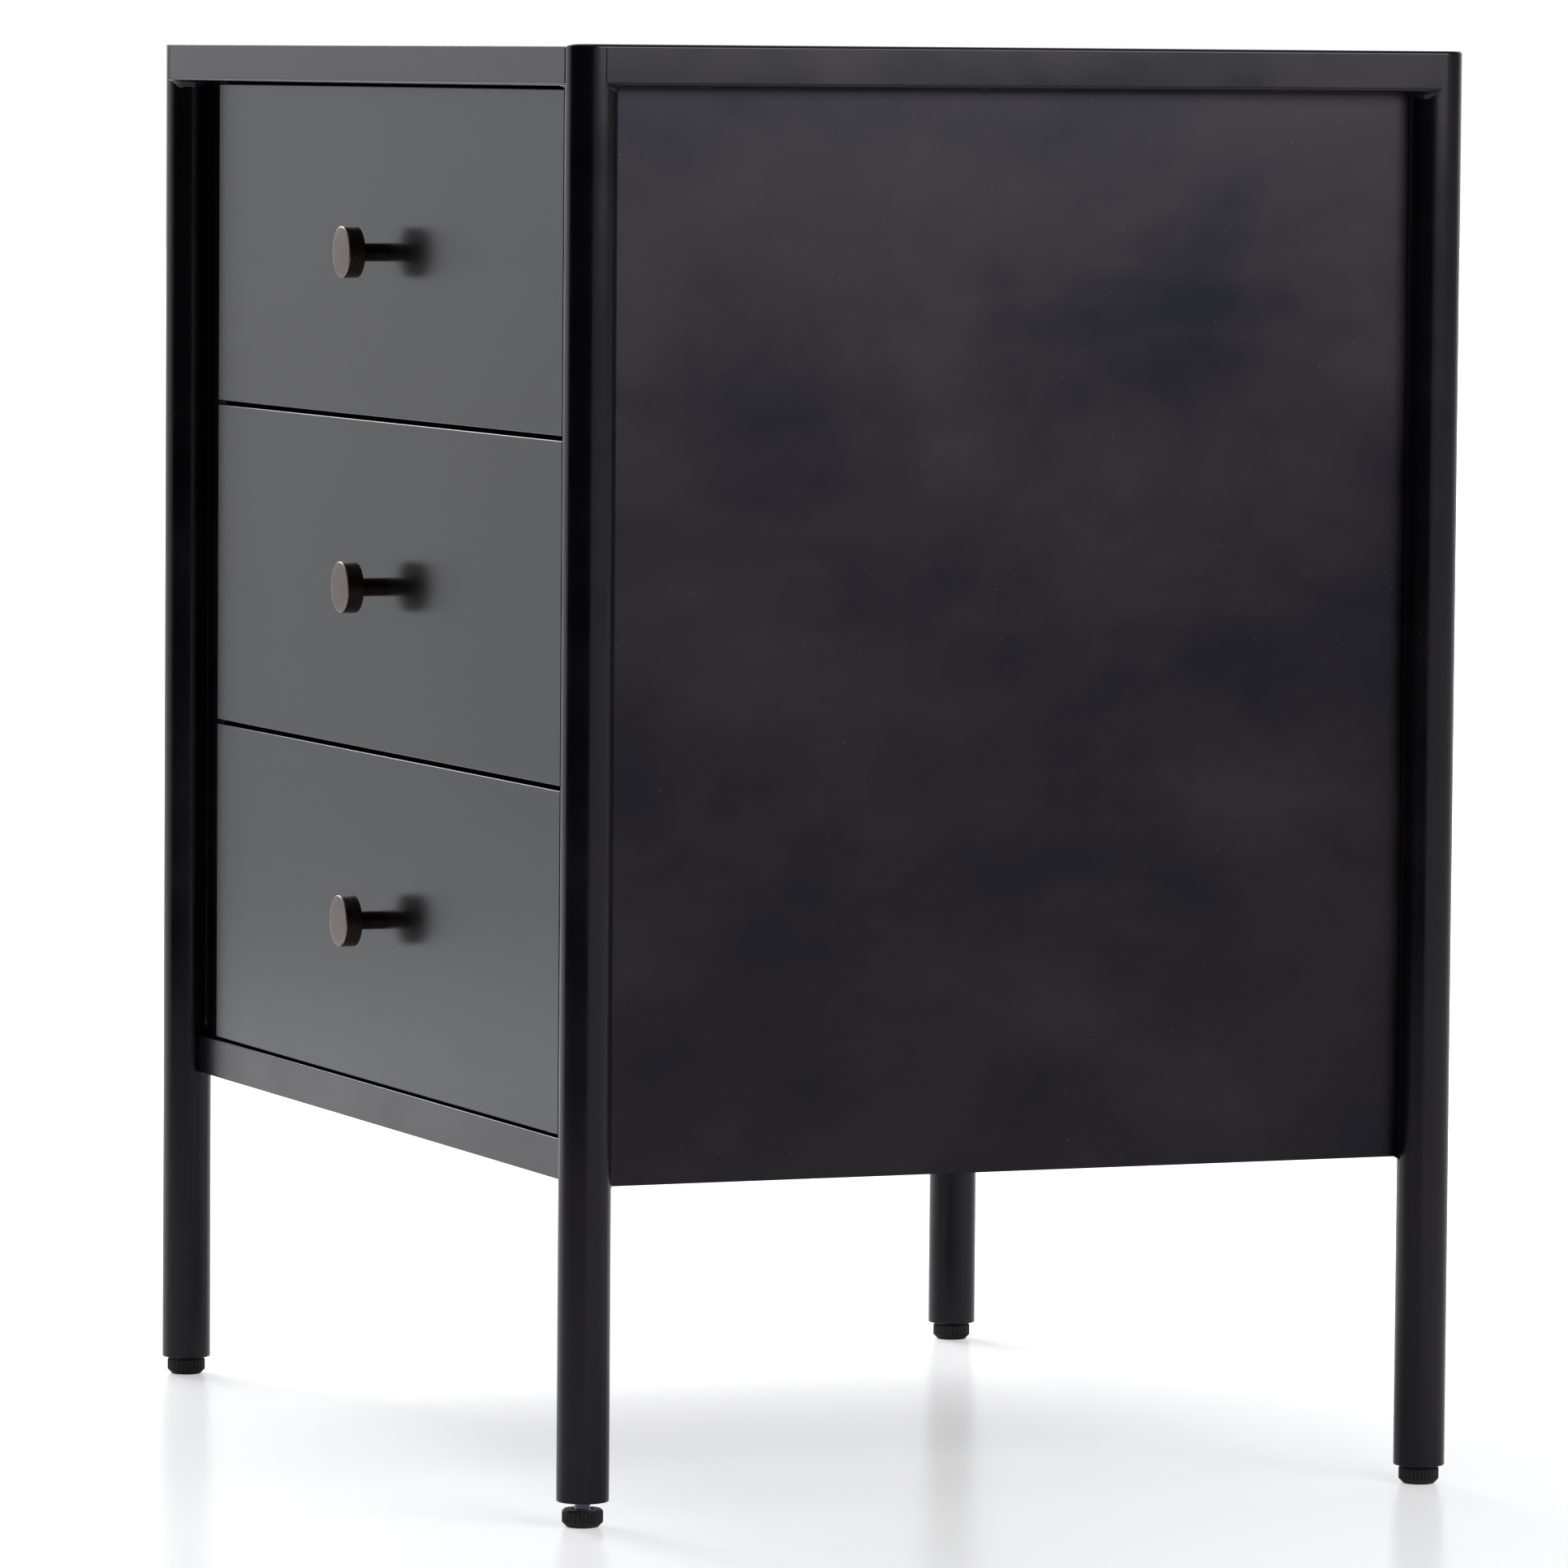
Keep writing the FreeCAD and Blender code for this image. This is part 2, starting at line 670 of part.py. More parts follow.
# ---------------------------------------------------------------------------- feet

def make_foot(name, x, y):
    """Levelling foot: a fluted pad on a threaded stud."""
    pad = new_body(f"foot_pad_{name}")
    rim, seat = "pad_diameter / 2", "stud_diameter / 2"
    add_revolution(pad, [("0", "0"), (f"{rim} - pad_bottom_chamfer", "0"),
                         (rim, "pad_bottom_chamfer"), (rim, "pad_height - pad_top_chamfer"),
                         (f"{rim} - pad_top_chamfer", "pad_height"), (seat, "pad_height"),
                         (seat, "stud_seat"), ("0", "stud_seat")])
    flute = new_sketch(pad, "XY_Plane")
    draw_circle(flute, "flute_diameter", x=f"{rim} + flute_offset")
    cut = add_cut(pad, flute)
    pattern = pad.newObject("PartDesign::PolarPattern", "flutes")
    pattern.Originals = [cut]
    pattern.Axis = (next(item for item in pad.Origin.OriginFeatures if item.Role == "Z_Axis"), [""])
    pattern.Angle = 360
    bind(pattern, Occurrences="flute_count")
    pad.Tip = pattern
    place(pad, x, y)
    keep(pad)

    stud = new_body(f"foot_stud_{name}")
    end = f"{seat} - stud_chamfer"
    add_revolution(stud, [("0", "0"), (seat, "0"), (seat, "stud_length - stud_chamfer"),
                          (end, "stud_length"), ("0", "stud_length")])
    place(stud, x, y, "stud_seat")
    keep(stud)


# ------------------------------------------------------------------------ assembly

def make_frame():
    """Posts, rails, sheets and stiles."""
    plugs = []
    for name, x, y, lift in leg_places():
        make_leg(name, x, y, lift)
        plugs.append(make_leg_plug(name, x, y, lift))
    group("leg_thread_plugs", plugs)
    make_top_rail("top_rail_front", "(2 * post_x)", "0", "front_post_y", 0)
    make_top_rail("top_rail_right", "post_spacing_y", "post_x", "frame_centre_y", 90)
    make_top_rail("top_rail_rear", "(2 * post_x)", "0", "rear_post_y", 180)
    make_top_rail("top_rail_left", "post_spacing_y", "-post_x", "frame_centre_y", -90)
    make_bottom_rail("bottom_rail_front", "front_post_y", "bottom_rail_setback", 0)
    make_bottom_rail("bottom_rail_rear", "rear_post_y", "(rear_post_y - back_inner_y)", 180)
    make_top_panel()
    make_side_panels()
    make_back_panel()
    make_bottom_panel()
    make_stiles()


def check_document():
    """Stop if any object failed or any sub-part's shape is missing or broken."""
    for item in DOCUMENT.Objects:
        if "Invalid" in item.State or "Error" in item.State:
            raise RuntimeError(f"{item.Label} failed: {item.State}")
    for node in NODES:
        if node.Shape.isNull() or not node.Shape.isValid() or not node.Shape.Solids:
            raise RuntimeError(f"{node.Label} has no sound shape")


def export_nodes():
    """Write one STEP file for each sub-part."""
    os.makedirs("parts", exist_ok=True)
    for node in NODES:
        node.Shape.exportStep(os.path.join("parts", f"{node.Label}.step"))


fill_sheet()
make_frame()
make_slide_members()
make_slide_screws()
make_drawers()
for foot_name, foot_x, foot_y, _ in leg_places():
    make_foot(foot_name, foot_x, foot_y)
DOCUMENT.recompute()
check_document()
export_nodes()
print(f"{len(NODES)} sub-parts written")
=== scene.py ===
"""Looks of a black iron nightstand with three drawers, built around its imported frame."""

import json
import math
import random

import bpy
from bpy.props import FloatProperty, FloatVectorProperty, IntProperty, PointerProperty
from mathutils import Euler, Matrix, Vector, noise


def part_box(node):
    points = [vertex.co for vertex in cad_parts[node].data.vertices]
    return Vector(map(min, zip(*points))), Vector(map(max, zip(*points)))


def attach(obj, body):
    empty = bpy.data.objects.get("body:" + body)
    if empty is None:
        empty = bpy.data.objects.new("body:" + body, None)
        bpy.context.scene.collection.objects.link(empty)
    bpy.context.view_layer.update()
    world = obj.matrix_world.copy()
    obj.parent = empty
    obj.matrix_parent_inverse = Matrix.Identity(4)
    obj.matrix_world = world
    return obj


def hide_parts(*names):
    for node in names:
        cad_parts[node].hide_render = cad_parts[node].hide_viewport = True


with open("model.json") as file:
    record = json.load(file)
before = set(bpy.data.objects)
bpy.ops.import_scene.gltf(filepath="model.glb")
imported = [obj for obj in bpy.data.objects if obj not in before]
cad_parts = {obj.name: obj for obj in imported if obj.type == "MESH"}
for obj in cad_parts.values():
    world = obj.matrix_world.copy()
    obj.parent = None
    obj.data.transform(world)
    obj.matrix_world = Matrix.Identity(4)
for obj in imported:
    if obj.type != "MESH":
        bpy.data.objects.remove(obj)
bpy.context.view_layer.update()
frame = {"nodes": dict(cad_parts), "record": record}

bl_info = {
    "name": "Iron Nightstand",
    "version": (1, 0, 0),
    "blender": (4, 5, 0),
    "location": "3D Viewport > Sidebar > Nightstand",
    "description": "Finishes and fittings of a three-drawer iron nightstand",
    "category": "Object",
}

MM = 0.001
DRAWERS = ("bottom", "middle", "top")
CORNERS = ("front_left", "front_right", "rear_left", "rear_right")
TACK_PLACES = (0.115, 0.46, 0.83)  # as shares of a sheet's length
FACING_FORWARDS = Euler((math.pi / 2, 0, 0))  # turns local +Z to world -Y


def linear(hex_colour):
    """An sRGB hex colour as linear RGBA."""
    channels = [int(hex_colour[i:i + 2], 16) / 255 for i in (1, 3, 5)]
    return (*[c / 12.92 if c <= 0.04045 else ((c + 0.055) / 1.055) ** 2.4 for c in channels], 1.0)


# ------------------------------------------------------------------------ settings

def length_property(name, description, default):
    """A length in metres."""
    return FloatProperty(name=name, description=description, default=default, unit="LENGTH")


class CameraSettings(bpy.types.PropertyGroup):
    """Where the camera stands and how far it sees."""
    azimuth: FloatProperty(
        name="Azimuth", description="Turn from straight in front towards the right-hand side",
        default=math.radians(67.686), subtype="ANGLE")
    heading: FloatProperty(
        name="Heading", description="Turn of the view from straight along the depth",
        default=math.radians(67.690), subtype="ANGLE")
    distance: length_property("Distance", "Level distance from the middle of the frame", 5.067)
    height: length_property("Height", "Height of the lens above the floor", 0.7024)
    pitch: FloatProperty(
        name="Pitch", description="How far the camera looks down",
        default=math.radians(4.179), subtype="ANGLE")
    roll: FloatProperty(
        name="Roll", description="Tilt of the camera about its own axis",
        default=math.radians(0.447), subtype="ANGLE")
    lens: FloatProperty(
        name="Lens", description="Focal length on a 36 mm sensor",
        default=227.0, unit="CAMERA")


class StageSettings(bpy.types.PropertyGroup):
    """Floor, surroundings and lights."""
    floor_colour: FloatVectorProperty(
        name="Floor", description="Colour of the painted floor", subtype="COLOR",
        default=linear("#efeff1")[:3], min=0.0, max=1.0)
    floor_glow: FloatProperty(
        name="Floor glow", description="Light that the near floor gives to the nightstand",
        default=0.10, min=0.0)
    floor_lift: FloatProperty(
        name="Floor lift", description="Extra light that makes the near floor white to the eye",
        default=0.38, min=0.0)
    bright_side: FloatProperty(
        name="Bright side", description="Light from the white wall on the left",
        default=0.84, min=0.0)
    lit_side: FloatProperty(
        name="Lit side", description="Light from the lit wall on the right",
        default=0.21, min=0.0)
    dim_room: FloatProperty(
        name="Dim room", description="Light from the rest of the room",
        default=0.10, min=0.0)
    left_power: FloatProperty(
        name="Left softbox", description="Power of the softbox high on the left",
        default=44.0, min=0.0, unit="POWER")
    left_place: FloatVectorProperty(
        name="Left softbox place", description="From the middle of the top's left edge",
        default=(-1.9, -0.3, 0.95), subtype="TRANSLATION", unit="LENGTH")
    left_size: FloatVectorProperty(
        name="Left softbox size", description="Width and height", size=2,
        default=(1.6, 1.5), unit="LENGTH")
    right_power: FloatProperty(
        name="Right softbox", description="Power of the softbox above the right-hand sheet",
        default=5.0, min=0.0, unit="POWER")
    right_place: FloatVectorProperty(
        name="Right softbox place", description="From the middle of the top's right edge",
        default=(0.9, 0.35, 0.22), subtype="TRANSLATION", unit="LENGTH")
    right_size: FloatVectorProperty(
        name="Right softbox size", description="Width and height", size=2,
        default=(0.9, 0.35), unit="LENGTH")
    right_dip: length_property(
        "Right softbox dip", "How far under the edge of the top it aims", 0.1)
    overhead_power: FloatProperty(
        name="Overhead", description="Power of the large panel above the top",
        default=8.0, min=0.0, unit="POWER")
    overhead_rise: length_property("Overhead rise", "Height of the panel above the top", 2.2)
    overhead_side: length_property("Overhead size", "Side of the square panel", 2.4)
    flag_radius: length_property("Flag radius", "How far out the black card stands", 1.75)
    flag_height: length_property("Flag height", "Height of the black card", 1.7)
    flag_start: FloatProperty(
        name="Flag start", description="Where the black card starts, turned from the front",
        default=math.radians(-24), subtype="ANGLE")
    flag_end: FloatProperty(
        name="Flag end", description="Where the black card ends, turned from the front",
        default=math.radians(73), subtype="ANGLE")


class FinishSettings(bpy.types.PropertyGroup):
    """Colours of the finishes that a user would change."""
    frame_black: FloatVectorProperty(
        name="Frame black", description="Lacquer on legs and rails", subtype="COLOR",
        default=linear("#09080a")[:3], min=0.0, max=1.0)
    sheet_black: FloatVectorProperty(
        name="Sheet black", description="Waxed finish on the sheets", subtype="COLOR",
        default=linear("#161216")[:3], min=0.0, max=1.0)
    drawer_black: FloatVectorProperty(
        name="Drawer black", description="Lacquer on the drawer fronts", subtype="COLOR",
        default=linear("#0a0b0c")[:3], min=0.0, max=1.0)
    # The face colour is painted lighter as painted light, and the sides' dark patina is painted
    # darker still as painted shade
    bronze: FloatVectorProperty(
        name="Bronze", description="Bronze on the knobs' handled faces", subtype="COLOR",
        default=linear("#736965")[:3], min=0.0, max=1.0)
    patina_and_shade: FloatVectorProperty(
        name="Patina", description="Dark patina on the knobs' sides and stems",
        subtype="COLOR", default=linear("#40342e")[:3], min=0.0, max=1.0)


class KnobSettings(bpy.types.PropertyGroup):
    """Turned details of the knobs."""
    disc: length_property("Disc", "Thickness of the disc", 9 * MM)
    stem: length_property("Stem", "Radius of the stem", 4.7 * MM)
    edge_round: length_property("Edge round", "Radius broken on the disc's edges", 0.7 * MM)
    crown: length_property("Crown", "Rise of the disc's face at its middle", 0.15 * MM)
    collar: length_property("Collar", "Flare of the stem where it meets the disc", 0.6 * MM)
    # Also the reach of the painted highlight round each rim and of the face's painted light
    rim_band: length_property("Wear", "How far from a rim the patina is rubbed", 0.8 * MM)
    segments: IntProperty(
        name="Segments", description="Steps round the knob", default=96, min=24)


class FootSettings(bpy.types.PropertyGroup):
    """Ribs and threads of the levelling feet."""
    ribs: IntProperty(name="Ribs", description="Grip ribs round a pad", default=30, min=8)
    rib_depth: length_property("Rib depth", "Depth of the valleys between ribs", 0.55 * MM)
    chamfer: length_property("Chamfer", "Slope round the underside of a pad", 2.4 * MM)
    lip: length_property("Lip", "Slope round the top of a pad", 1 * MM)
    dish: length_property("Dish", "Hollow under a pad", 0.35 * MM)
    tread: length_property("Tread", "Width of the flat rim that a pad stands on", 0.6 * MM)
    seat: length_property("Seat", "Depth and slope of the recess round the stud", 0.5 * MM)
    thread_pitch: length_property(
        "Thread pitch", "Rise of the stud's thread in one turn", 1.25 * MM)
    thread_depth: length_property("Thread depth", "Depth of the stud's thread", 0.67 * MM)
    thread_end: length_property(
        "Thread end", "Length over which the thread fades at the top", 0.8 * MM)


class WeldSettings(bpy.types.PropertyGroup):
    """Ground welds between the tubes and sheets."""
    fillet: length_property("Fillet", "Size of the ground fillets under the top rails", 3.6 * MM)
    small_fillet: length_property(
        "Small fillet", "Size of the fillets at the bottom rails", 1.8 * MM)
    seam: length_property("Seam", "Size of the seams between stiles and legs", 1.1 * MM)
    tack: length_property("Tack", "Length of a tack weld", 7 * MM)
    tack_width: length_property("Tack width", "Width of a tack weld", 1.96 * MM)
    sunk: length_property("Sunk", "How deep a fillet reaches into what it joins", 0.25 * MM)


class SlideSettings(bpy.types.PropertyGroup):
    """Ball cages between the slide members."""
    ball: length_property("Ball", "Diameter of a ball", 1.9 * MM)
    pitch: length_property("Ball pitch", "Distance between balls", 9 * MM)
    cage: length_property("Cage", "Length of a ball cage", 0.2)
    cage_width: length_property("Cage width", "Width of a ball cage", 5.2 * MM)
    cage_wall: length_property("Cage wall", "Thickness of a ball cage", 0.5 * MM)
    race_inset: length_property(
        "Race inset", "From a middle member's outer face to its race", 4 * MM)
    race_rise: length_property("Race rise", "From a middle member's edge to its race", 1 * MM)


class NightstandSettings(bpy.types.PropertyGroup):
    """Everything about the nightstand that a user would change."""
    camera: PointerProperty(type=CameraSettings)
    stage: PointerProperty(type=StageSettings)
    finish: PointerProperty(type=FinishSettings)
    knob: PointerProperty(type=KnobSettings)
    foot: PointerProperty(type=FootSettings)
    weld: PointerProperty(type=WeldSettings)
    slide: PointerProperty(type=SlideSettings)


# -------------------------------------------------------------------- mesh helpers

def add_piece(name, vertices, faces, material, body, smooth=True):
    """A new mesh object that rides on a body."""
    mesh = bpy.data.meshes.new(name)
    mesh.from_pydata([tuple(v) for v in vertices], [], faces)
    mesh.validate()
    mesh.update()
    piece = bpy.data.objects.new(name, mesh)
    bpy.context.scene.collection.objects.link(piece)
    piece.data.materials.append(material)
    if smooth:
        mesh.shade_smooth()
    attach(piece, body)
    return piece


def add_angle_shading(piece, degrees=35):
    """Smooth shading that keeps edges sharper than an angle."""
    piece.data.set_sharp_from_angle(angle=math.radians(degrees))


def lathe(profile, segments, radius_at=None):
    """Vertices and faces of a closed turned shape from (radius, height) points.

    radius_at may change a point's radius with its angle, as ribs and threads do.
    """
    vertices, faces, rings = [], [], []
    for radius, height in profile:
        if radius == 0:
            rings.append([len(vertices)])
            vertices.append(Vector((0, 0, height)))
            continue
        ring = []
        for step in range(segments):
            angle = 2 * math.pi * step / segments
            here = radius_at(radius, height, angle) if radius_at else radius
            ring.append(len(vertices))
            vertices.append(Vector((here * math.cos(angle), here * math.sin(angle), height)))
        rings.append(ring)
    for lower, upper in zip(rings, rings[1:]):
        for step in range(segments):
            following = (step + 1) % segments
            if len(lower) == 1:
                faces.append((lower[0], upper[following], upper[step]))
            elif len(upper) == 1:
                faces.append((lower[step], lower[following], upper[0]))
            else:
                faces.append((lower[step], lower[following], upper[following], upper[step]))
    return vertices, faces


def arc_points(centre, radius, start, end, steps):
    """Points along an arc in a profile, angles in degrees."""
    points = []
    for step in range(steps + 1):
        angle = math.radians(start + (end - start) * step / steps)
        points.append((centre[0] + radius * math.cos(angle), centre[1] + radius * math.sin(angle)))
    return points


def unevenness(position, waves):
    """How a hand-laid bead swells and thins along its way, from (share, rate, phase) waves."""
    return 1 + sum(share * math.sin(rate * position + phase) for share, rate, phase in waves)


def ball(turn_step):
    """Half profile of a ball of radius 1, in steps of degrees, from its foot to its top."""
    angles = [math.radians(angle) for angle in range(180 - turn_step, 0, -turn_step)]
    return [(0.0, -1.0), *[(math.sin(angle), math.cos(angle)) for angle in angles], (0.0, 1.0)]


def swept_section(sections):
    """Vertices and faces of a closed solid through sections of equal point count."""
    vertices = [point for section in sections for point in section]
    count = len(sections[0])
    faces = []
    for index in range(len(sections) - 1):
        base, following = index * count, (index + 1) * count
        for step in range(count):
            turn = (step + 1) % count
            faces.append((base + step, base + turn, following + turn, following + step))
    faces.append(tuple(reversed(range(count))))
    last = (len(sections) - 1) * count
    faces.append(tuple(range(last, last + count)))
    return vertices, faces


# ---------------------------------------------------------------- material helpers

def add_node(tree, kind, inputs=None, **settings):
    """A node with its settings, its plain inputs and its links."""
    node = tree.nodes.new(kind)
    for name, value in settings.items():
        setattr(node, name, value)
    for name, value in (inputs or {}).items():
        if isinstance(value, bpy.types.NodeSocket):
            tree.links.new(value, node.inputs[name])
        else:
            node.inputs[name].default_value = value
    return node


def start_material(name, **sockets):
    """A material with one Principled shader whose even values are set on its sockets."""
    material = bpy.data.materials.new(name)
    material.use_nodes = True
    tree = material.node_tree
    shader = tree.nodes["Principled BSDF"]
    for socket, value in sockets.items():
        shader.inputs[socket.replace("_", " ")].default_value = value
    return material, tree, shader


def feed(tree, shader, **sources):
    """Link each source to the shader's socket of that name."""
    for socket, source in sources.items():
        tree.links.new(source, shader.inputs[socket.replace("_", " ")])


def own_place(tree):
    """Where a point lies in its own piece, in metres."""
    return add_node(tree, "ShaderNodeTexCoord").outputs["Object"]


def stretched(tree, place, scale):
    """A place scaled along its axes."""
    return add_node(tree, "ShaderNodeMapping", {"Vector": place, "Scale": scale}).outputs["Vector"]


def soft_noise(tree, place, scale, detail, roughness=0.5, distortion=0.0):
    """Cloudy noise."""
    return add_node(tree, "ShaderNodeTexNoise", {
        "Vector": place, "Scale": scale, "Detail": detail, "Roughness": roughness,
        "Distortion": distortion}).outputs["Fac"]


def remap(tree, value, low=0.0, high=1.0, to_low=0.0, to_high=1.0, **settings):
    """A value taken from one range to another, and kept within it."""
    return add_node(tree, "ShaderNodeMapRange", {
        "Value": value, "From Min": low, "From Max": high, "To Min": to_low,
        "To Max": to_high}, **settings).outputs["Result"]


def calculate(tree, operation, *values):
    """A sum on plain numbers."""
    numbered = dict(enumerate(values))
    return add_node(tree, "ShaderNodeMath", numbered, operation=operation).outputs["Value"]


def blend(tree, factor, first, second):
    """One colour turning into another as the factor grows."""
    return add_node(tree, "ShaderNodeMix", {"Factor": factor, "A": first, "B": second},
                    data_type="RGBA").outputs["Result"]


def relief(tree, height, strength, distance):
    """A bumpy surface of that height in metres."""
    return add_node(tree, "ShaderNodeBump", {
        "Height": height, "Strength": strength, "Distance": distance}).outputs["Normal"]


def per_metre(size_mm):
    """Texture scale whose pattern repeats about once in a size in millimetres."""
    return 1000.0 / size_mm


def lighter(colour, factor):
    """A linear colour scaled in brightness."""
    return (*[min(1.0, c * factor) for c in colour[:3]], 1.0)


def black_iron(name, colour, cloud_mm, cloud_contrast, roughness, peel_microns, speck, sheens):
    """Black finish on iron: uneven in depth and gloss, with a fine skin and stray specks.

    sheens are the sheen's colours in the dark and in the light clouds.
    """
    material, tree, shader = start_material(name, Metallic=0.0, IOR=1.5)
    place = own_place(tree)
    # Clouds lie wider than high, as a cloth leaves them
    wide_place = stretched(tree, place, (1.0, 1.0, 1.6))
    clouds = soft_noise(tree, wide_place, per_metre(cloud_mm), 6.0, 0.6, 0.15)
    spread = remap(tree, clouds, 0.32, 0.68)
    red, green, blue, _ = lighter(colour, 1 - cloud_contrast)
    bluish_dark = (red * 0.85, green * 0.98, blue * 1.15, 1.0)
    base = blend(tree, spread, bluish_dark, lighter(colour, 1 + cloud_contrast))
    # Specks of dust under the coat, 9 mm apart and 0.4 to 0.6 mm across
    specks = add_node(tree, "ShaderNodeTexVoronoi", {
        "Vector": place, "Scale": per_metre(9.0), "Randomness": 1.0})
    is_speck = remap(tree, specks.outputs["Distance"], 0.035, 0.02, to_high=speck)
    # The skin of the coat waves about every 1.6 mm
    peel = soft_noise(tree, place, per_metre(1.6), 3.0, 0.6)
    feed(tree, shader, Base_Color=blend(tree, is_speck, base, linear("#8f8b8c")),
         Specular_Tint=blend(tree, spread, linear(sheens[0]), linear(sheens[1])),
         Roughness=remap(tree, spread, to_low=roughness[0], to_high=roughness[1]),
         Normal=relief(tree, peel, 0.5, peel_microns * 1e-6))
    return material


def frame_lacquer(finish):
    """Satin black lacquer brushed on ground iron tube: deep, with long soft highlights."""
    return black_iron(
        "black_lacquer_on_iron_tube", finish.frame_black, cloud_mm=90, cloud_contrast=0.35,
        roughness=(0.18, 0.27), peel_microns=14, speck=0.4, sheens=("#f2f2ff", "#fff6ff"))


def sheet_wax(finish):
    """Blackened and waxed iron sheet: smoky clouds a hand wide under a dull sheen."""
    return black_iron(
        "waxed_blackened_iron_sheet", finish.sheet_black, cloud_mm=150, cloud_contrast=0.75,
        roughness=(0.30, 0.44), peel_microns=26, speck=0.6, sheens=("#d4d4f0", "#fff0fa"))


def drawer_lacquer(finish):
    """Semi-gloss black lacquer sprayed on sheet: even, it mirrors what stands before it."""
    return black_iron(
        "sprayed_lacquer_on_iron_sheet", finish.drawer_black, cloud_mm=240, cloud_contrast=0.12,
        roughness=(0.19, 0.23), peel_microns=4, speck=0.2, sheens=("#f6f8ff", "#fafaff"))


def dark_bronze(finish):
    """Oil-rubbed bronze, turned: brown-black patina, with the face painted lighter as painted light
    and the sides and stem painted darker as painted shade; worn to metal on its edges, which are
    painted near white, partly as a painted highlight.
    """
    material, tree, shader = start_material("oil_rubbed_turned_bronze", Metallic=1.0)
    place = own_place(tree)
    patches = soft_noise(tree, place, per_metre(5.0), 4.0)
    # Painted light and shade: the face takes the lighter colour, the sides and stem the darker one
    highlit = add_node(tree, "ShaderNodeAttribute", attribute_name="painted_light_face")
    patina_and_shade = blend(tree, highlit.outputs["Fac"], (*finish.patina_and_shade, 1.0), (*finish.bronze, 1.0))
    mottled = add_node(tree, "ShaderNodeVectorMath", {
        0: patina_and_shade, 1: remap(tree, patches, to_low=0.65, to_high=1.35)}, operation="MULTIPLY")
    # Rims painted near white: partly rubbed metal, partly a painted highlight on the rounded edges
    rim_band = add_node(tree, "ShaderNodeAttribute", attribute_name="worn_and_highlit_rim")
    scuffs = soft_noise(tree, place, per_metre(1.8), 4.0, 0.7)
    worn_and_highlit = calculate(tree, "MULTIPLY", rim_band.outputs["Fac"], remap(tree, scuffs, 0.35, 0.6))
    # Tool marks 0.35 mm apart, about twice a real finish cut, so that they show
    rings = add_node(tree, "ShaderNodeTexWave", {
        "Vector": place, "Scale": per_metre(0.35) / (2 * math.pi), "Distortion": 0.3},
        wave_type="RINGS", rings_direction="Z")
    feed(tree, shader,
         Base_Color=blend(tree, worn_and_highlit, mottled.outputs["Vector"], linear("#d8cfc6")),
         Roughness=remap(tree, patches, to_low=0.30, to_high=0.48),
         Normal=relief(tree, rings.outputs["Fac"], 0.25, 6e-6))
    return material


def zinc_plate():
    """Bright zinc plating on steel: bluish silver with cloudy passivation."""
    material, tree, shader = start_material("zinc_plated_steel", Metallic=1.0)
    clouds = soft_noise(tree, own_place(tree), per_metre(14.0), 6.0)
    feed(tree, shader, Base_Color=blend(tree, clouds, linear("#9fa6b4"), linear("#d5d8de")),
         Roughness=remap(tree, clouds, to_low=0.22, to_high=0.42))
    return material


def slide_steel():
    """Roll-formed zinc-plated slide steel: fine lines along its length from the rolls."""
    material, tree, shader = start_material("roll_formed_zinc_steel", Metallic=1.0)
    drawn_out = (per_metre(0.8), per_metre(60.0), per_metre(0.8))
    lines = soft_noise(tree, stretched(tree, own_place(tree), drawn_out), 1.0, 3.0)
    feed(tree, shader, Base_Color=blend(tree, lines, linear("#8e939b"), linear("#c9ccd1")),
         Roughness=remap(tree, lines, to_low=0.25, to_high=0.45),
         Normal=relief(tree, lines, 0.2, 2e-5))
    return material


def moulded_nylon():
    """Black moulded nylon: fine spark-eroded grain, dull, with slightly paler rubs."""
    material, tree, shader = start_material("moulded_black_nylon", IOR=1.53)
    place = own_place(tree)
    rubs = soft_noise(tree, place, per_metre(3.0), 5.0, 0.7)
    grain = soft_noise(tree, place, per_metre(0.3), 2.0)
    feed(tree, shader, Base_Color=blend(tree, rubs, linear("#0c0b0d"), linear("#2c292d")),
         Roughness=remap(tree, rubs, to_low=0.38, to_high=0.6),
         Normal=relief(tree, grain, 0.5, 1.5e-5))
    return material


def birch_plywood(name, thickness_axis, grain_axis):
    """Clear-coated birch plywood: pale figured faces, and thin plies banded on its edges."""
    material, tree, shader = start_material(name, IOR=1.5)
    place = own_place(tree)
    stretch = [per_metre(7.0)] * 3
    stretch[grain_axis] = per_metre(160.0)
    figure = soft_noise(tree, stretched(tree, place, stretch), 1.0, 6.0, 0.6, 0.8)
    face = blend(tree, figure, linear("#b98f5f"), linear("#e3c79b"))
    # Plies 1.5 mm thick, as in ordinary birch board
    apart = add_node(tree, "ShaderNodeSeparateXYZ", {"Vector": place})
    plies = calculate(tree, "MULTIPLY", apart.outputs[thickness_axis], math.pi * per_metre(1.5))
    band = remap(tree, calculate(tree, "SINE", plies), -0.35, 0.35)
    edge = blend(tree, band, linear("#8a6238"), linear("#d9b888"))
    normal = add_node(tree, "ShaderNodeNewGeometry").outputs["Normal"]
    facing = add_node(tree, "ShaderNodeSeparateXYZ", {"Vector": normal})
    flatness = calculate(tree, "ABSOLUTE", facing.outputs[thickness_axis])
    is_face = calculate(tree, "GREATER_THAN", flatness, 0.5)
    feed(tree, shader, Base_Color=blend(tree, is_face, edge, face),
         Roughness=remap(tree, figure, to_low=0.34, to_high=0.5),
         Normal=relief(tree, figure, 0.25, 6e-5))
    return material


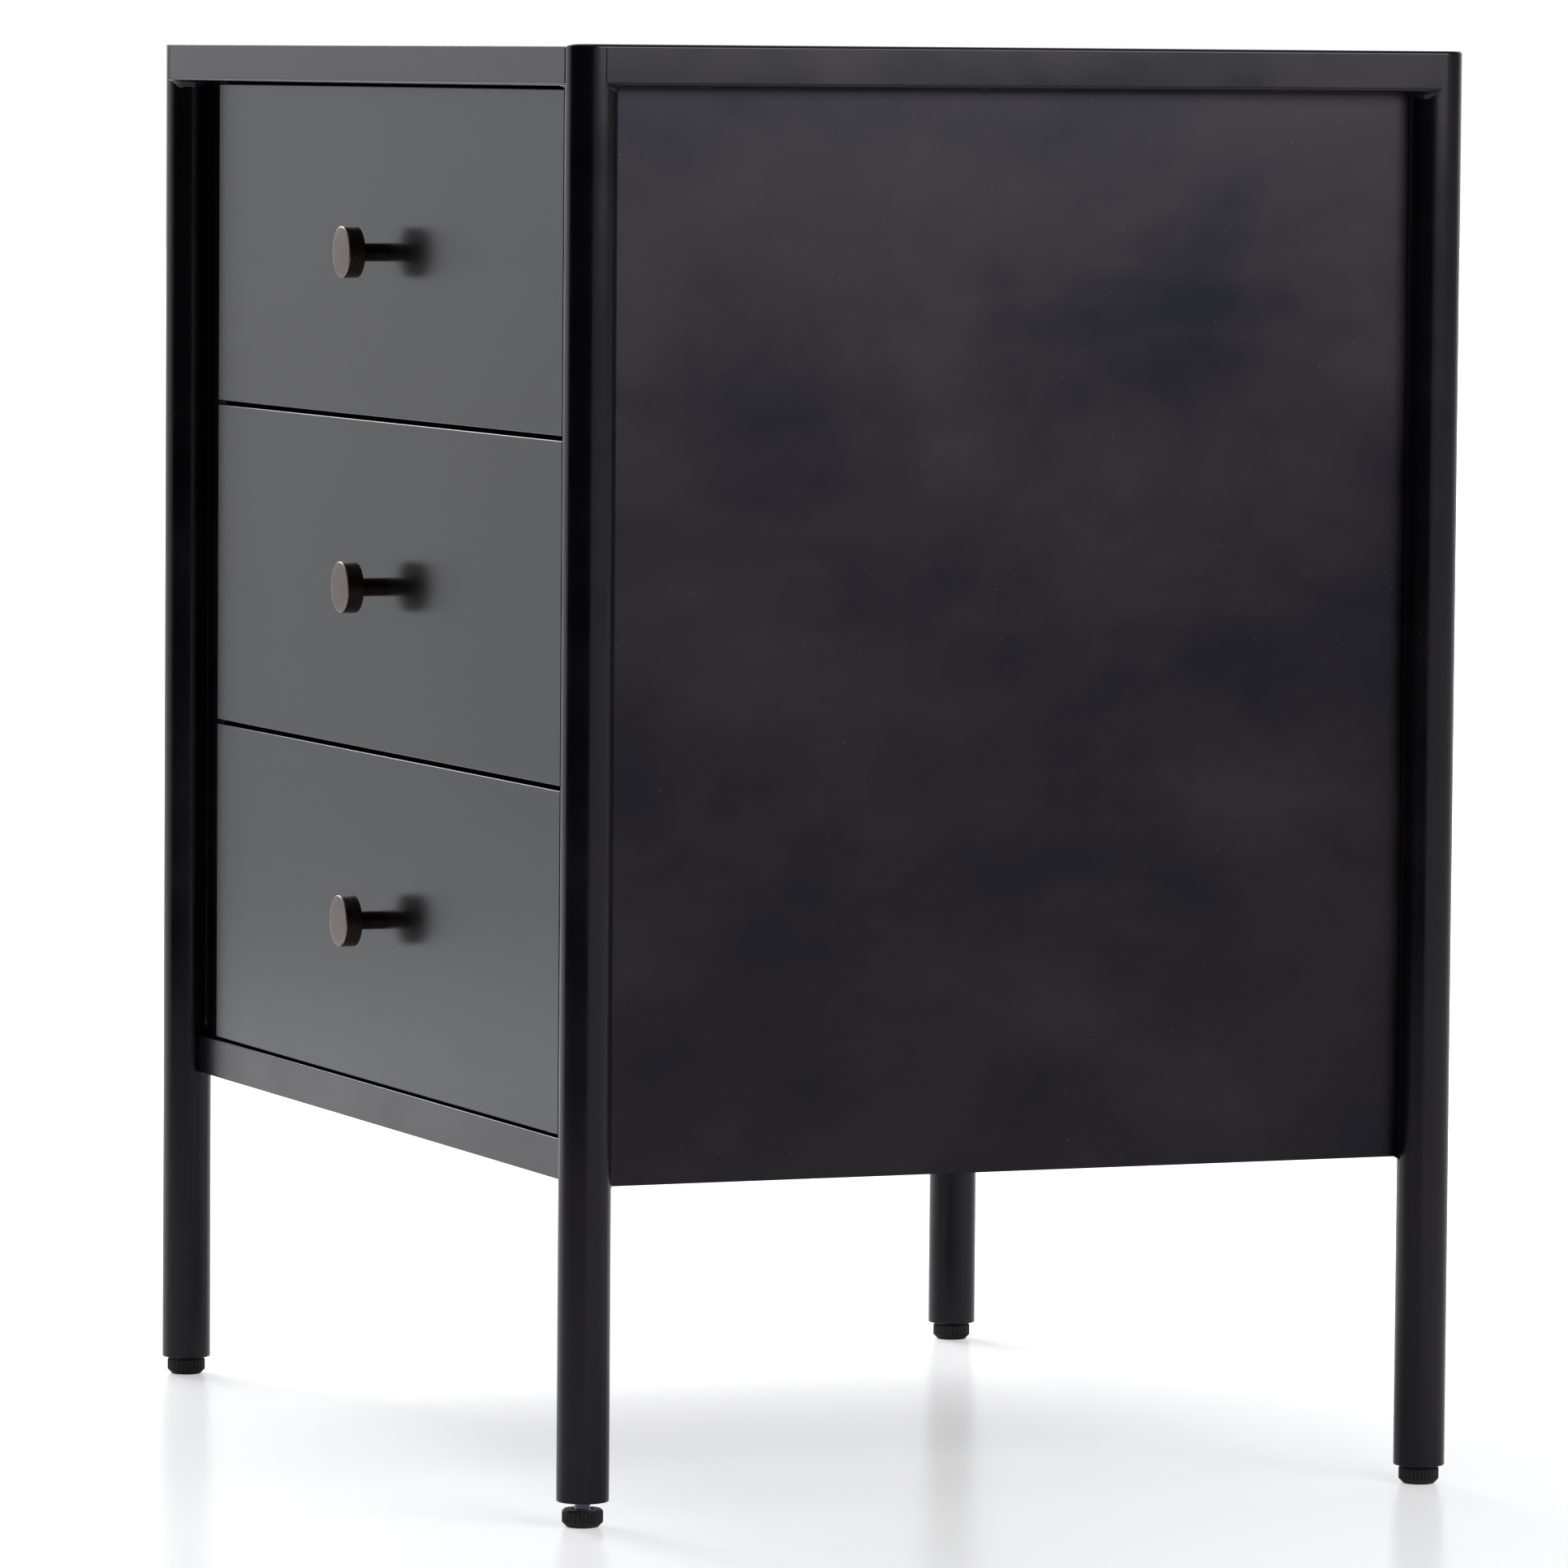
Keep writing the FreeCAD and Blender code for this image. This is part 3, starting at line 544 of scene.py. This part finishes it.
def fibreboard():
    """Raw fibreboard: brown, dull and flecked with fibres."""
    material, tree, shader = start_material("raw_fibreboard", IOR=1.45)
    fibres = soft_noise(tree, own_place(tree), per_metre(1.2), 6.0, 0.75)
    feed(tree, shader, Base_Color=blend(tree, fibres, linear("#6e5338"), linear("#a88660")),
         Roughness=remap(tree, fibres, to_low=0.7, to_high=0.9),
         Normal=relief(tree, fibres, 0.4, 5e-5))
    return material


FINISHES = {}


def finish_named(name):
    """The material of that finish, made once."""
    if name not in FINISHES:
        finish = bpy.context.scene.nightstand.finish
        makers = {
            "frame": lambda: frame_lacquer(finish),
            "sheet": lambda: sheet_wax(finish),
            "drawer": lambda: drawer_lacquer(finish),
            "bronze": lambda: dark_bronze(finish),
            "zinc": zinc_plate,
            "slide": slide_steel,
            "nylon": moulded_nylon,
            "ply_side": lambda: birch_plywood("clear_coated_birch_side", 0, 1),
            "ply_back": lambda: birch_plywood("clear_coated_birch_back", 1, 0),
            "ply_bottom": lambda: birch_plywood("clear_coated_birch_bottom", 2, 1),
            "board": fibreboard,
        }
        FINISHES[name] = makers[name]()
    return FINISHES[name]


def dress(node, finish):
    """Give a carried-over node its finish."""
    piece = frame["nodes"][node]
    piece.data.materials.clear()
    piece.data.materials.append(finish_named(finish))


# ------------------------------------------------------------------- frame places

def centre_of(node):
    """Middle of a node's box at rest."""
    low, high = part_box(node)
    return (low + high) / 2


def post_radius():
    """Outer radius of a leg."""
    low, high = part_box("leg_front_left")
    return (high.x - low.x) / 2


def rail_inset():
    """How far a top rail's inner face lies inside the middle of its posts."""
    low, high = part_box("top_rail_front")
    return high.y - centre_of("leg_front_left").y


# ----------------------------------------------------------------------- operators

class NIGHTSTAND_OT_add_camera(bpy.types.Operator):
    """Add the camera"""
    bl_idname = "nightstand.add_camera"
    bl_label = "Add camera"

    def execute(self, context):
        settings = context.scene.nightstand.camera
        data = bpy.data.cameras.new("camera")
        data.lens = settings.lens
        data.clip_end = 100.0
        camera = bpy.data.objects.new("camera", data)
        context.scene.collection.objects.link(camera)
        low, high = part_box("top_panel")
        middle = (low + high) / 2
        camera.location = (
            middle.x + settings.distance * math.sin(settings.azimuth),
            middle.y - settings.distance * math.cos(settings.azimuth),
            settings.height)
        facing = Euler((math.pi / 2 - settings.pitch, 0, settings.heading)).to_matrix()
        turned = facing @ Matrix.Rotation(settings.roll, 3, "Z")
        camera.rotation_euler = turned.to_euler()
        context.scene.camera = camera
        return {"FINISHED"}


def aim(light, target):
    """Turn a light to face a point."""
    light.rotation_euler = (Vector(target) - light.location).to_track_quat("-Z", "Y").to_euler()


def add_softbox(name, location, target, size, power):
    """A rectangular soft light that the camera doesn't see."""
    data = bpy.data.lights.new(name, "AREA")
    data.shape = "RECTANGLE"
    data.size, data.size_y = size
    data.energy = power
    light = bpy.data.objects.new(name, data)
    bpy.context.scene.collection.objects.link(light)
    light.location = location
    light.visible_camera = False
    aim(light, target)
    return light


def add_floor(settings):
    """A broad pale floor, lifted for the eye up to the backdrop's white further out."""
    half = 30.0
    mesh = bpy.data.meshes.new("floor")
    mesh.from_pydata([(-half, -half, 0), (half, -half, 0), (half, half, 0), (-half, half, 0)],
                     [], [(0, 1, 2, 3)])
    floor = bpy.data.objects.new("floor", mesh)
    bpy.context.scene.collection.objects.link(floor)
    material, tree, shader = start_material(
        "pale_floor_paint", Base_Color=(*settings.floor_colour, 1.0), Roughness=0.22, IOR=1.12)
    distance = add_node(tree, "ShaderNodeVectorMath", {0: own_place(tree)}, operation="LENGTH")
    reach = distance.outputs["Value"]
    # Both grow with the distance from the nightstand, in metres
    glow = remap(tree, reach, 0.3, 2.6, settings.floor_glow, 3 * settings.floor_glow,
                 interpolation_type="SMOOTHSTEP")
    lift = remap(tree, reach, 0.5, 2.2, settings.floor_lift, 1.0,
                 interpolation_type="SMOOTHSTEP")
    eye = add_node(tree, "ShaderNodeLightPath").outputs["Is Camera Ray"]
    shader.inputs["Emission Color"].default_value = (1.0, 1.0, 1.0, 1.0)
    feed(tree, shader, Emission_Strength=calculate(tree, "MULTIPLY_ADD", lift, eye, glow))
    mesh.materials.append(material)


def add_flag(settings, middle):
    """A curved black card round the front right, so that the posts mirror a dark room.

    The camera looks through it.
    """
    steps, off_floor = 24, 2 * MM
    radius = settings.flag_radius
    vertices = []
    for step in range(steps + 1):
        turn = settings.flag_start + (settings.flag_end - settings.flag_start) * step / steps
        x, y = middle.x + radius * math.sin(turn), middle.y - radius * math.cos(turn)
        vertices += [(x, y, off_floor), (x, y, settings.flag_height)]
    faces = [(2 * i, 2 * i + 2, 2 * i + 3, 2 * i + 1) for i in range(steps)]
    mesh = bpy.data.meshes.new("black_flag")
    mesh.from_pydata(vertices, [], faces)
    flag = bpy.data.objects.new("black_flag", mesh)
    bpy.context.scene.collection.objects.link(flag)
    material, _, _ = start_material("black_velvet", Base_Color=linear("#0a0a0c"), Roughness=0.9)
    mesh.materials.append(material)
    flag.visible_camera = False
    flag.visible_shadow = False


def add_surroundings(settings):
    """White to the eye, but it sheds light only from the walls on the left and right."""
    world = bpy.data.worlds.new("studio")
    bpy.context.scene.world = world
    world.use_nodes = True
    tree = world.node_tree
    background = tree.nodes["Background"]
    output = tree.nodes["World Output"]
    way = add_node(tree, "ShaderNodeTexCoord").outputs["Generated"]
    level = settings.dim_room
    # Each wall's middle in degrees from the front, the closeness to it (a cosine) at which
    # its light starts and is full, and that light
    walls = ((-100, 0.26, 0.52, settings.bright_side), (112, 0.70, 0.90, settings.lit_side))
    for azimuth, start, full, light in walls:
        towards = (math.sin(math.radians(azimuth)), -math.cos(math.radians(azimuth)), 0.0)
        closeness = add_node(tree, "ShaderNodeVectorMath", {0: way, 1: towards},
                             operation="DOT_PRODUCT")
        wall = remap(tree, closeness.outputs["Value"], start, full,
                     to_high=light - settings.dim_room, interpolation_type="SMOOTHSTEP")
        level = calculate(tree, "ADD", level, wall)
    background.inputs["Color"].default_value = linear("#fafbff")
    tree.links.new(level, background.inputs["Strength"])
    seen = add_node(tree, "ShaderNodeBackground", {"Color": (1.0, 1.0, 1.0, 1.0), "Strength": 1.0})
    eye = add_node(tree, "ShaderNodeLightPath").outputs["Is Camera Ray"]
    mix = add_node(tree, "ShaderNodeMixShader", {
        0: eye, 1: background.outputs["Background"], 2: seen.outputs["Background"]})
    tree.links.new(mix.outputs["Shader"], output.inputs["Surface"])


class NIGHTSTAND_OT_add_stage(bpy.types.Operator):
    """Add the floor, the surroundings and the lights"""
    bl_idname = "nightstand.add_stage"
    bl_label = "Add stage"

    def execute(self, context):
        settings = context.scene.nightstand.stage
        add_floor(settings)
        add_surroundings(settings)
        low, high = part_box("top_panel")
        middle = (low + high) / 2
        add_flag(settings, middle)
        left_edge = Vector((low.x, middle.y, high.z))
        right_edge = Vector((high.x, middle.y, high.z))
        over = Vector((middle.x, middle.y, high.z + settings.overhead_rise))
        add_softbox("softbox_left", left_edge + settings.left_place, middle,
                    settings.left_size, settings.left_power)
        add_softbox("softbox_right", right_edge + settings.right_place,
                    right_edge - Vector((0, 0, settings.right_dip)),
                    settings.right_size, settings.right_power)
        add_softbox("softbox_overhead", over, middle,
                    (settings.overhead_side, settings.overhead_side), settings.overhead_power)
        context.scene.view_settings.view_transform = "Standard"
        return {"FINISHED"}


class NIGHTSTAND_OT_finish_frame(bpy.types.Operator):
    """Finish the legs, rails, sheets, stiles and slides"""
    bl_idname = "nightstand.finish_frame"
    bl_label = "Finish frame"

    def execute(self, context):
        members = frame["record"]["behaviour"]["bodies"]["frame"]
        for node in members:
            if node == "slide_outer_members":
                dress(node, "slide")
            elif node in ("slide_screws", "leg_thread_plugs"):
                dress(node, "zinc")
            elif "panel" in node and node != "top_panel":
                dress(node, "sheet")
            else:
                dress(node, "frame")
        return {"FINISHED"}


class NIGHTSTAND_OT_finish_drawers(bpy.types.Operator):
    """Finish the drawers and the slide members that move"""
    bl_idname = "nightstand.finish_drawers"
    bl_label = "Finish drawers"

    def execute(self, context):
        for drawer in DRAWERS:
            dress(f"drawer_front_{drawer}", "drawer")
            dress(f"drawer_board_{drawer}", "board")
            dress(f"drawer_side_{drawer}_left", "ply_side")
            dress(f"drawer_side_{drawer}_right", "ply_side")
            dress(f"drawer_back_{drawer}", "ply_back")
            dress(f"drawer_bottom_{drawer}", "ply_bottom")
            dress(f"knob_screw_{drawer}", "zinc")
            dress(f"slide_inner_{drawer}", "slide")
            dress(f"slide_middle_{drawer}", "slide")
        return {"FINISHED"}


def knob_profile(settings, length, disc_radius):
    """Half profile of a knob from its base to the middle of its face."""
    start, stem_radius = length - settings.disc, settings.stem
    edge = settings.edge_round
    profile = [(0.0, 0.0), (stem_radius, 0.0)]
    profile += arc_points((stem_radius + settings.collar, start - settings.collar),
                          settings.collar, 180, 90, 5)
    profile += arc_points((disc_radius - edge, start + edge), edge, -90, 0, 6)
    profile += arc_points((disc_radius - edge, length - settings.crown - edge), edge, 0, 90, 6)
    for share in (0.75, 0.5, 0.25, 0.0):
        radius = (disc_radius - edge) * share
        profile.append((radius, length - settings.crown * share ** 2))
    return profile


def mark_worn_and_highlit_rims(piece, settings, length, disc_radius):
    """Store where the knob is painted lighter: along the disc's two rims, where the patina wears
    off and a highlight is painted, and over its face, painted as lit against the painted shade of
    its sides.
    """
    worn_and_highlit = piece.data.attributes.new("worn_and_highlit_rim", "FLOAT", "POINT")
    highlit = piece.data.attributes.new("painted_light_face", "FLOAT", "POINT")
    for index, vertex in enumerate(piece.data.vertices):
        radius = math.hypot(vertex.co.x, vertex.co.y)
        off_front = math.hypot(radius - disc_radius, vertex.co.z - length)
        off_back = math.hypot(radius - disc_radius, vertex.co.z - (length - settings.disc))
        # Each rim fades from painted highlight and rubbed metal into the dark colour
        worn_and_highlit.data[index].value = max(0.0, 1.0 - min(off_front, off_back) / settings.rim_band)
        # Marks the face, which is painted lighter than the sides as painted light
        highlit.data[index].value = 1.0 if vertex.co.z > length - settings.rim_band else 0.0


class NIGHTSTAND_OT_add_knobs(bpy.types.Operator):
    """Turn the three knobs"""
    bl_idname = "nightstand.add_knobs"
    bl_label = "Add knobs"

    def execute(self, context):
        settings = context.scene.nightstand.knob
        for drawer in DRAWERS:
            low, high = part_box(f"knob_{drawer}")
            disc_radius = (high.x - low.x) / 2
            length = high.y - low.y
            vertices, faces = lathe(knob_profile(settings, length, disc_radius), settings.segments)
            piece = add_piece(f"turned_knob_{drawer}", vertices, faces, finish_named("bronze"),
                              f"drawer_{drawer}")
            mark_worn_and_highlit_rims(piece, settings, length, disc_radius)
            add_angle_shading(piece, 50)
            middle = (low + high) / 2
            piece.location = (middle.x, high.y, middle.z)
            piece.rotation_euler = FACING_FORWARDS
            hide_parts(f"knob_{drawer}")
        return {"FINISHED"}


def pad_shape(settings, radius, height, bore):
    """Vertices and faces of a ribbed pad with broken edges and a dished underside."""
    chamfer, lip, dish = settings.chamfer, settings.lip, settings.dish
    tread, seat = settings.tread, settings.seat
    foot = radius - chamfer
    band = height - chamfer - lip
    profile = [(0.0, dish), (foot - 2 * tread, dish), (foot - tread, 0.0), (foot, 0.0)]
    profile += [(foot + chamfer * t, chamfer * t) for t in (0.25, 0.5, 0.75, 1.0)]
    profile += [(radius, chamfer + band * t) for t in (0.08, 0.3, 0.6, 0.92)]
    recess = bore + 1.1 * MM
    profile += [(radius, height - lip), (radius - lip, height), (recess + seat, height),
                (recess, height - seat), (bore, height - seat), (0.0, height - seat)]

    def ribbed(here, level, angle):
        on_rib = here >= radius - tread and 0.7 * chamfer <= level <= height - 0.9 * lip
        valley = (0.5 - 0.5 * math.cos(settings.ribs * angle)) ** 2
        return here - settings.rib_depth * valley if on_rib else here
    return lathe(profile, settings.ribs * 8, ribbed)


def stud_shape(settings, radius, length):
    """Vertices and faces of a threaded stud."""
    steps_per_turn, segments = 6, 30
    count = int(length / settings.thread_pitch * steps_per_turn)
    profile = [(0.0, 0.0)]
    profile += [(radius, length * step / count) for step in range(count + 1)]
    profile.append((0.0, length))

    def threaded(here, level, angle):
        phase = (level / settings.thread_pitch - angle / (2 * math.pi)) % 1.0
        ridge = min(1.0, 1.25 * abs(2 * phase - 1))
        fade = min(1.0, (length - level) / settings.thread_end)
        return here - settings.thread_depth * (1 - ridge * fade)
    return lathe(profile, segments, threaded)


class NIGHTSTAND_OT_add_feet(bpy.types.Operator):
    """Add the ribbed pads and threaded studs"""
    bl_idname = "nightstand.add_feet"
    bl_label = "Add feet"

    def execute(self, context):
        settings = context.scene.nightstand.foot
        for corner in CORNERS:
            pad_low, pad_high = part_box(f"foot_pad_{corner}")
            stud_low, stud_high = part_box(f"foot_stud_{corner}")
            middle = (pad_low + pad_high) / 2
            radius = (pad_high.x - pad_low.x) / 2
            bore = (stud_high.x - stud_low.x) / 2
            vertices, faces = pad_shape(settings, radius, pad_high.z - pad_low.z, bore)
            pad = add_piece(f"ribbed_pad_{corner}", vertices, faces, finish_named("nylon"),
                            f"foot_{corner}")
            pad.location = (middle.x, middle.y, pad_low.z)
            add_angle_shading(pad)
            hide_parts(f"foot_pad_{corner}")
            vertices, faces = stud_shape(settings, bore, stud_high.z - stud_low.z)
            stud = add_piece(f"threaded_stud_{corner}", vertices, faces, finish_named("zinc"),
                             f"foot_{corner}")
            stud.location = (middle.x, middle.y, stud_low.z)
            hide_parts(f"foot_stud_{corner}")
        return {"FINISHED"}


def fillet_arc(settings, centre, level, radius, size, start, span, sense, tangent):
    """A concave weld fillet under a level face round a post.

    start is a direction in degrees, span the first and last angle from it, sense +1 or -1.
    Where the face leaves the post on a tangent at its start, the fillet grows from there.
    """
    sections = []
    steps, curve_steps, thinnest = 26, 5, 0.04 * MM
    first, last = span
    inner, top = radius - settings.sunk, level + settings.sunk
    for step in range(steps + 1):
        offset = math.radians(first + (last - first) * step / steps)
        room = size
        if tangent and offset < 1.5:
            room = 0.9 * radius * (1 / max(math.cos(offset), 1e-3) - 1)
        wave = unevenness(offset, ((0.10, 9, centre.x * 40), (0.06, 23, 0)))
        here = max(min(size * wave, room), thinnest)
        angle = math.radians(start) + sense * offset
        outward = Vector((math.cos(angle), math.sin(angle), 0))
        outline = [(inner, top), (radius + here, top)]
        for bend in (math.pi / 2 * k / curve_steps for k in range(curve_steps + 1)):
            outline.append((radius + here * (1 - math.sin(bend)),
                            level - here * (1 - math.cos(bend))))
        outline.append((inner, level - here))
        sections.append([centre + outward * away + Vector((0, 0, height))
                         for away, height in outline])
    vertices, faces = swept_section(sections)
    if sense < 0:
        faces = [tuple(reversed(face)) for face in faces]
    return vertices, faces


def upright_seam(size, height, lean):
    """A concave bead up the corner between a flat stile and the leg to its left.

    The corner is the local origin, the stile runs off along +X, and the leg's skin leaves
    the corner forwards (-Y), at its lean from the stile's own line.
    """
    curve_steps, steps, buried = 4, 60, 0.2 * MM
    along_leg = Vector((math.cos(lean), -math.sin(lean), 0))
    sections = []
    for step in range(steps + 1):
        level = height * step / steps
        here = size * unevenness(level, ((0.12, 260, 0), (0.07, 910, 1)))
        section = [Vector((-buried, buried, level)), Vector((here, buried, level))]
        for k in range(curve_steps + 1):
            share = k / curve_steps
            on_stile = Vector((here, 0, 0)) * (1 - share) ** 2
            on_leg = along_leg * here * share ** 2
            section.append(on_stile + on_leg + Vector((0, 0, level)))
        sections.append(section)
    return swept_section(sections)


def tack_weld(length, width, seed):
    """A small uneven mound of weld metal, its middle at its origin."""
    chooser = random.Random(seed)
    offset = Vector((chooser.random(), chooser.random(), chooser.random())) * 10
    vertices, faces = lathe(ball(15), 20)
    shaped = []
    for vertex in vertices:
        swell = 1 + 0.22 * noise.noise(vertex * 1.7 + offset)
        mound = Vector((vertex.x * length, vertex.y * width, vertex.z * width)) / 2
        shaped.append(mound * swell)
    return shaped, faces


class NIGHTSTAND_OT_add_welds(bpy.types.Operator):
    """Add the ground fillets and tack welds"""
    bl_idname = "nightstand.add_welds"
    bl_label = "Add welds"

    def execute(self, context):
        settings = context.scene.nightstand.weld
        rail_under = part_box("top_rail_front")[0].z
        for corner in CORNERS:
            self.add_fillets(settings, corner, rail_under)
        self.add_seams(settings, rail_under)
        self.add_tacks(settings, rail_under)
        return {"FINISHED"}

    def add_fillets(self, settings, corner, rail_under):
        """Fillets round one leg, under its two top rails and under its bottom rail."""
        radius = post_radius()
        post = centre_of(f"leg_{corner}")
        post.z = 0
        end, side = corner.split("_")
        out_x = 0 if side == "right" else 180
        out_y = 90 if end == "rear" else -90
        same = 1 if (end == "front") == (side == "right") else -1
        top_span = (4, 90 + math.degrees(math.asin(rail_inset() / radius)))
        rail_low, rail_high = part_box(f"bottom_rail_{end}")
        setback = rail_low.y - post.y if end == "front" else post.y - rail_high.y
        foot_span = (math.degrees(math.asin(setback / radius)) + 6, 88)
        for name, level, size, start, span, sense in (
                ("side", rail_under, settings.fillet, out_x, top_span, same),
                ("cross", rail_under, settings.fillet, out_y, top_span, -same),
                ("foot", rail_low.z, settings.small_fillet, 180 - out_x, foot_span, -same)):
            vertices, faces = fillet_arc(settings, post, level, radius, size, start, span,
                                         sense, tangent=name != "foot")
            add_piece(f"weld_{name}_{corner}", vertices, faces, finish_named("frame"),
                      "frame")

    def add_seams(self, settings, rail_under):
        """Upright seams where the front stiles meet the front legs."""
        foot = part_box("bottom_rail_front")[1].z
        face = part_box("stile_front_right")[0].y
        for side, sign in (("left", -1), ("right", 1)):
            post = centre_of(f"leg_front_{side}")
            forward = face - post.y
            across = math.sqrt(post_radius() ** 2 - forward ** 2)
            lean = math.atan2(across, forward)
            vertices, faces = upright_seam(settings.seam, rail_under - foot, lean)
            if sign > 0:
                vertices = [Vector((-v.x, v.y, v.z)) for v in vertices]
                faces = [tuple(reversed(face_points)) for face_points in faces]
            seam = add_piece(f"seam_{side}", vertices, faces, finish_named("frame"), "frame")
            seam.location = (post.x - sign * across, face, foot)

    def add_tacks(self, settings, rail_under):
        """Tack welds where the side and back sheets meet the rails above them."""
        side_low, side_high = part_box("side_panel_right")
        back_low, back_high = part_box("back_panel")
        for index, share in enumerate(TACK_PLACES):
            y = side_low.y + (side_high.y - side_low.y) * share
            for sign, side in ((-1, "left"), (1, "right")):
                self.add_tack(f"tack_side_{index}_{side}", (sign * side_high.x, y, rail_under),
                              settings, math.pi / 2, index + sign)
            x = back_low.x + (back_high.x - back_low.x) * share
            self.add_tack(f"tack_back_{index}", (x, back_high.y, rail_under), settings,
                          0.0, 10 + index)

    def add_tack(self, name, spot, settings, turn, seed):
        """One tack weld lying along its joint."""
        vertices, faces = tack_weld(settings.tack, settings.tack_width, seed)
        tack = add_piece(name, vertices, faces, finish_named("frame"), "frame")
        tack.location = spot
        tack.rotation_euler = (0, 0, turn)


class NIGHTSTAND_OT_add_ball_cages(bpy.types.Operator):
    """Add the ball cages between the slide members"""
    bl_idname = "nightstand.add_ball_cages"
    bl_label = "Add ball cages"

    def execute(self, context):
        settings = context.scene.nightstand.slide
        for drawer in DRAWERS:
            low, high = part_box(f"slide_middle_{drawer}")
            y = (low.y + high.y) / 2
            levels = (("upper", high.z + settings.race_rise), ("lower", low.z - settings.race_rise))
            for sign, side in ((-1, "left"), (1, "right")):
                x = sign * (high.x - settings.race_inset)
                for edge, level in levels:
                    self.add_cage(f"ball_cage_{drawer}_{side}_{edge}", settings, drawer,
                                  (x, y, level))
        return {"FINISHED"}

    def add_cage(self, name, settings, drawer, spot):
        """A thin strip with a row of balls through it."""
        half = settings.cage / 2
        across, wall = settings.cage_width / 2, settings.cage_wall / 2
        vertices = [Vector((x, y, z)) for x in (-across, across) for y in (-half, half)
                    for z in (-wall, wall)]
        faces = [(0, 1, 3, 2), (4, 6, 7, 5), (0, 4, 5, 1), (2, 3, 7, 6), (0, 2, 6, 4),
                 (1, 5, 7, 3)]
        ball_points, ball_faces = lathe(ball(30), 12)
        for index in range(int(settings.cage / settings.pitch)):
            middle = Vector((0, settings.pitch * (index + 0.5) - half, 0))
            base = len(vertices)
            vertices += [middle + point * settings.ball / 2 for point in ball_points]
            faces += [tuple(base + i for i in face) for face in ball_faces]
        cage = add_piece(name, vertices, faces, finish_named("zinc"), f"runner_{drawer}")
        add_angle_shading(cage, 40)
        cage.location = spot


class NIGHTSTAND_PT_panel(bpy.types.Panel):
    """Buttons for each part of the nightstand"""
    bl_idname = "NIGHTSTAND_PT_panel"
    bl_label = "Nightstand"
    bl_space_type = "VIEW_3D"
    bl_region_type = "UI"
    bl_category = "Nightstand"

    def draw(self, context):
        for operator in OPERATORS:
            self.layout.operator(operator.bl_idname)


OPERATORS = (
    NIGHTSTAND_OT_add_camera,
    NIGHTSTAND_OT_add_stage,
    NIGHTSTAND_OT_finish_frame,
    NIGHTSTAND_OT_finish_drawers,
    NIGHTSTAND_OT_add_knobs,
    NIGHTSTAND_OT_add_feet,
    NIGHTSTAND_OT_add_welds,
    NIGHTSTAND_OT_add_ball_cages,
)
SETTINGS = (CameraSettings, StageSettings, FinishSettings, KnobSettings, FootSettings,
            WeldSettings, SlideSettings, NightstandSettings)


def register():
    """Register every class and hang the settings on the scene."""
    for item in (*SETTINGS, *OPERATORS, NIGHTSTAND_PT_panel):
        bpy.utils.register_class(item)
    bpy.types.Scene.nightstand = PointerProperty(type=NightstandSettings)


def unregister():
    """Undo register."""
    del bpy.types.Scene.nightstand
    for item in reversed((*SETTINGS, *OPERATORS, NIGHTSTAND_PT_panel)):
        bpy.utils.unregister_class(item)


def main():
    """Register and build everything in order."""
    register()
    bpy.ops.nightstand.add_camera()
    bpy.ops.nightstand.add_stage()
    bpy.ops.nightstand.finish_frame()
    bpy.ops.nightstand.finish_drawers()
    bpy.ops.nightstand.add_knobs()
    bpy.ops.nightstand.add_feet()
    bpy.ops.nightstand.add_welds()
    bpy.ops.nightstand.add_ball_cages()
    bpy.context.view_layer.update()


if __name__ == "__main__":
    main()
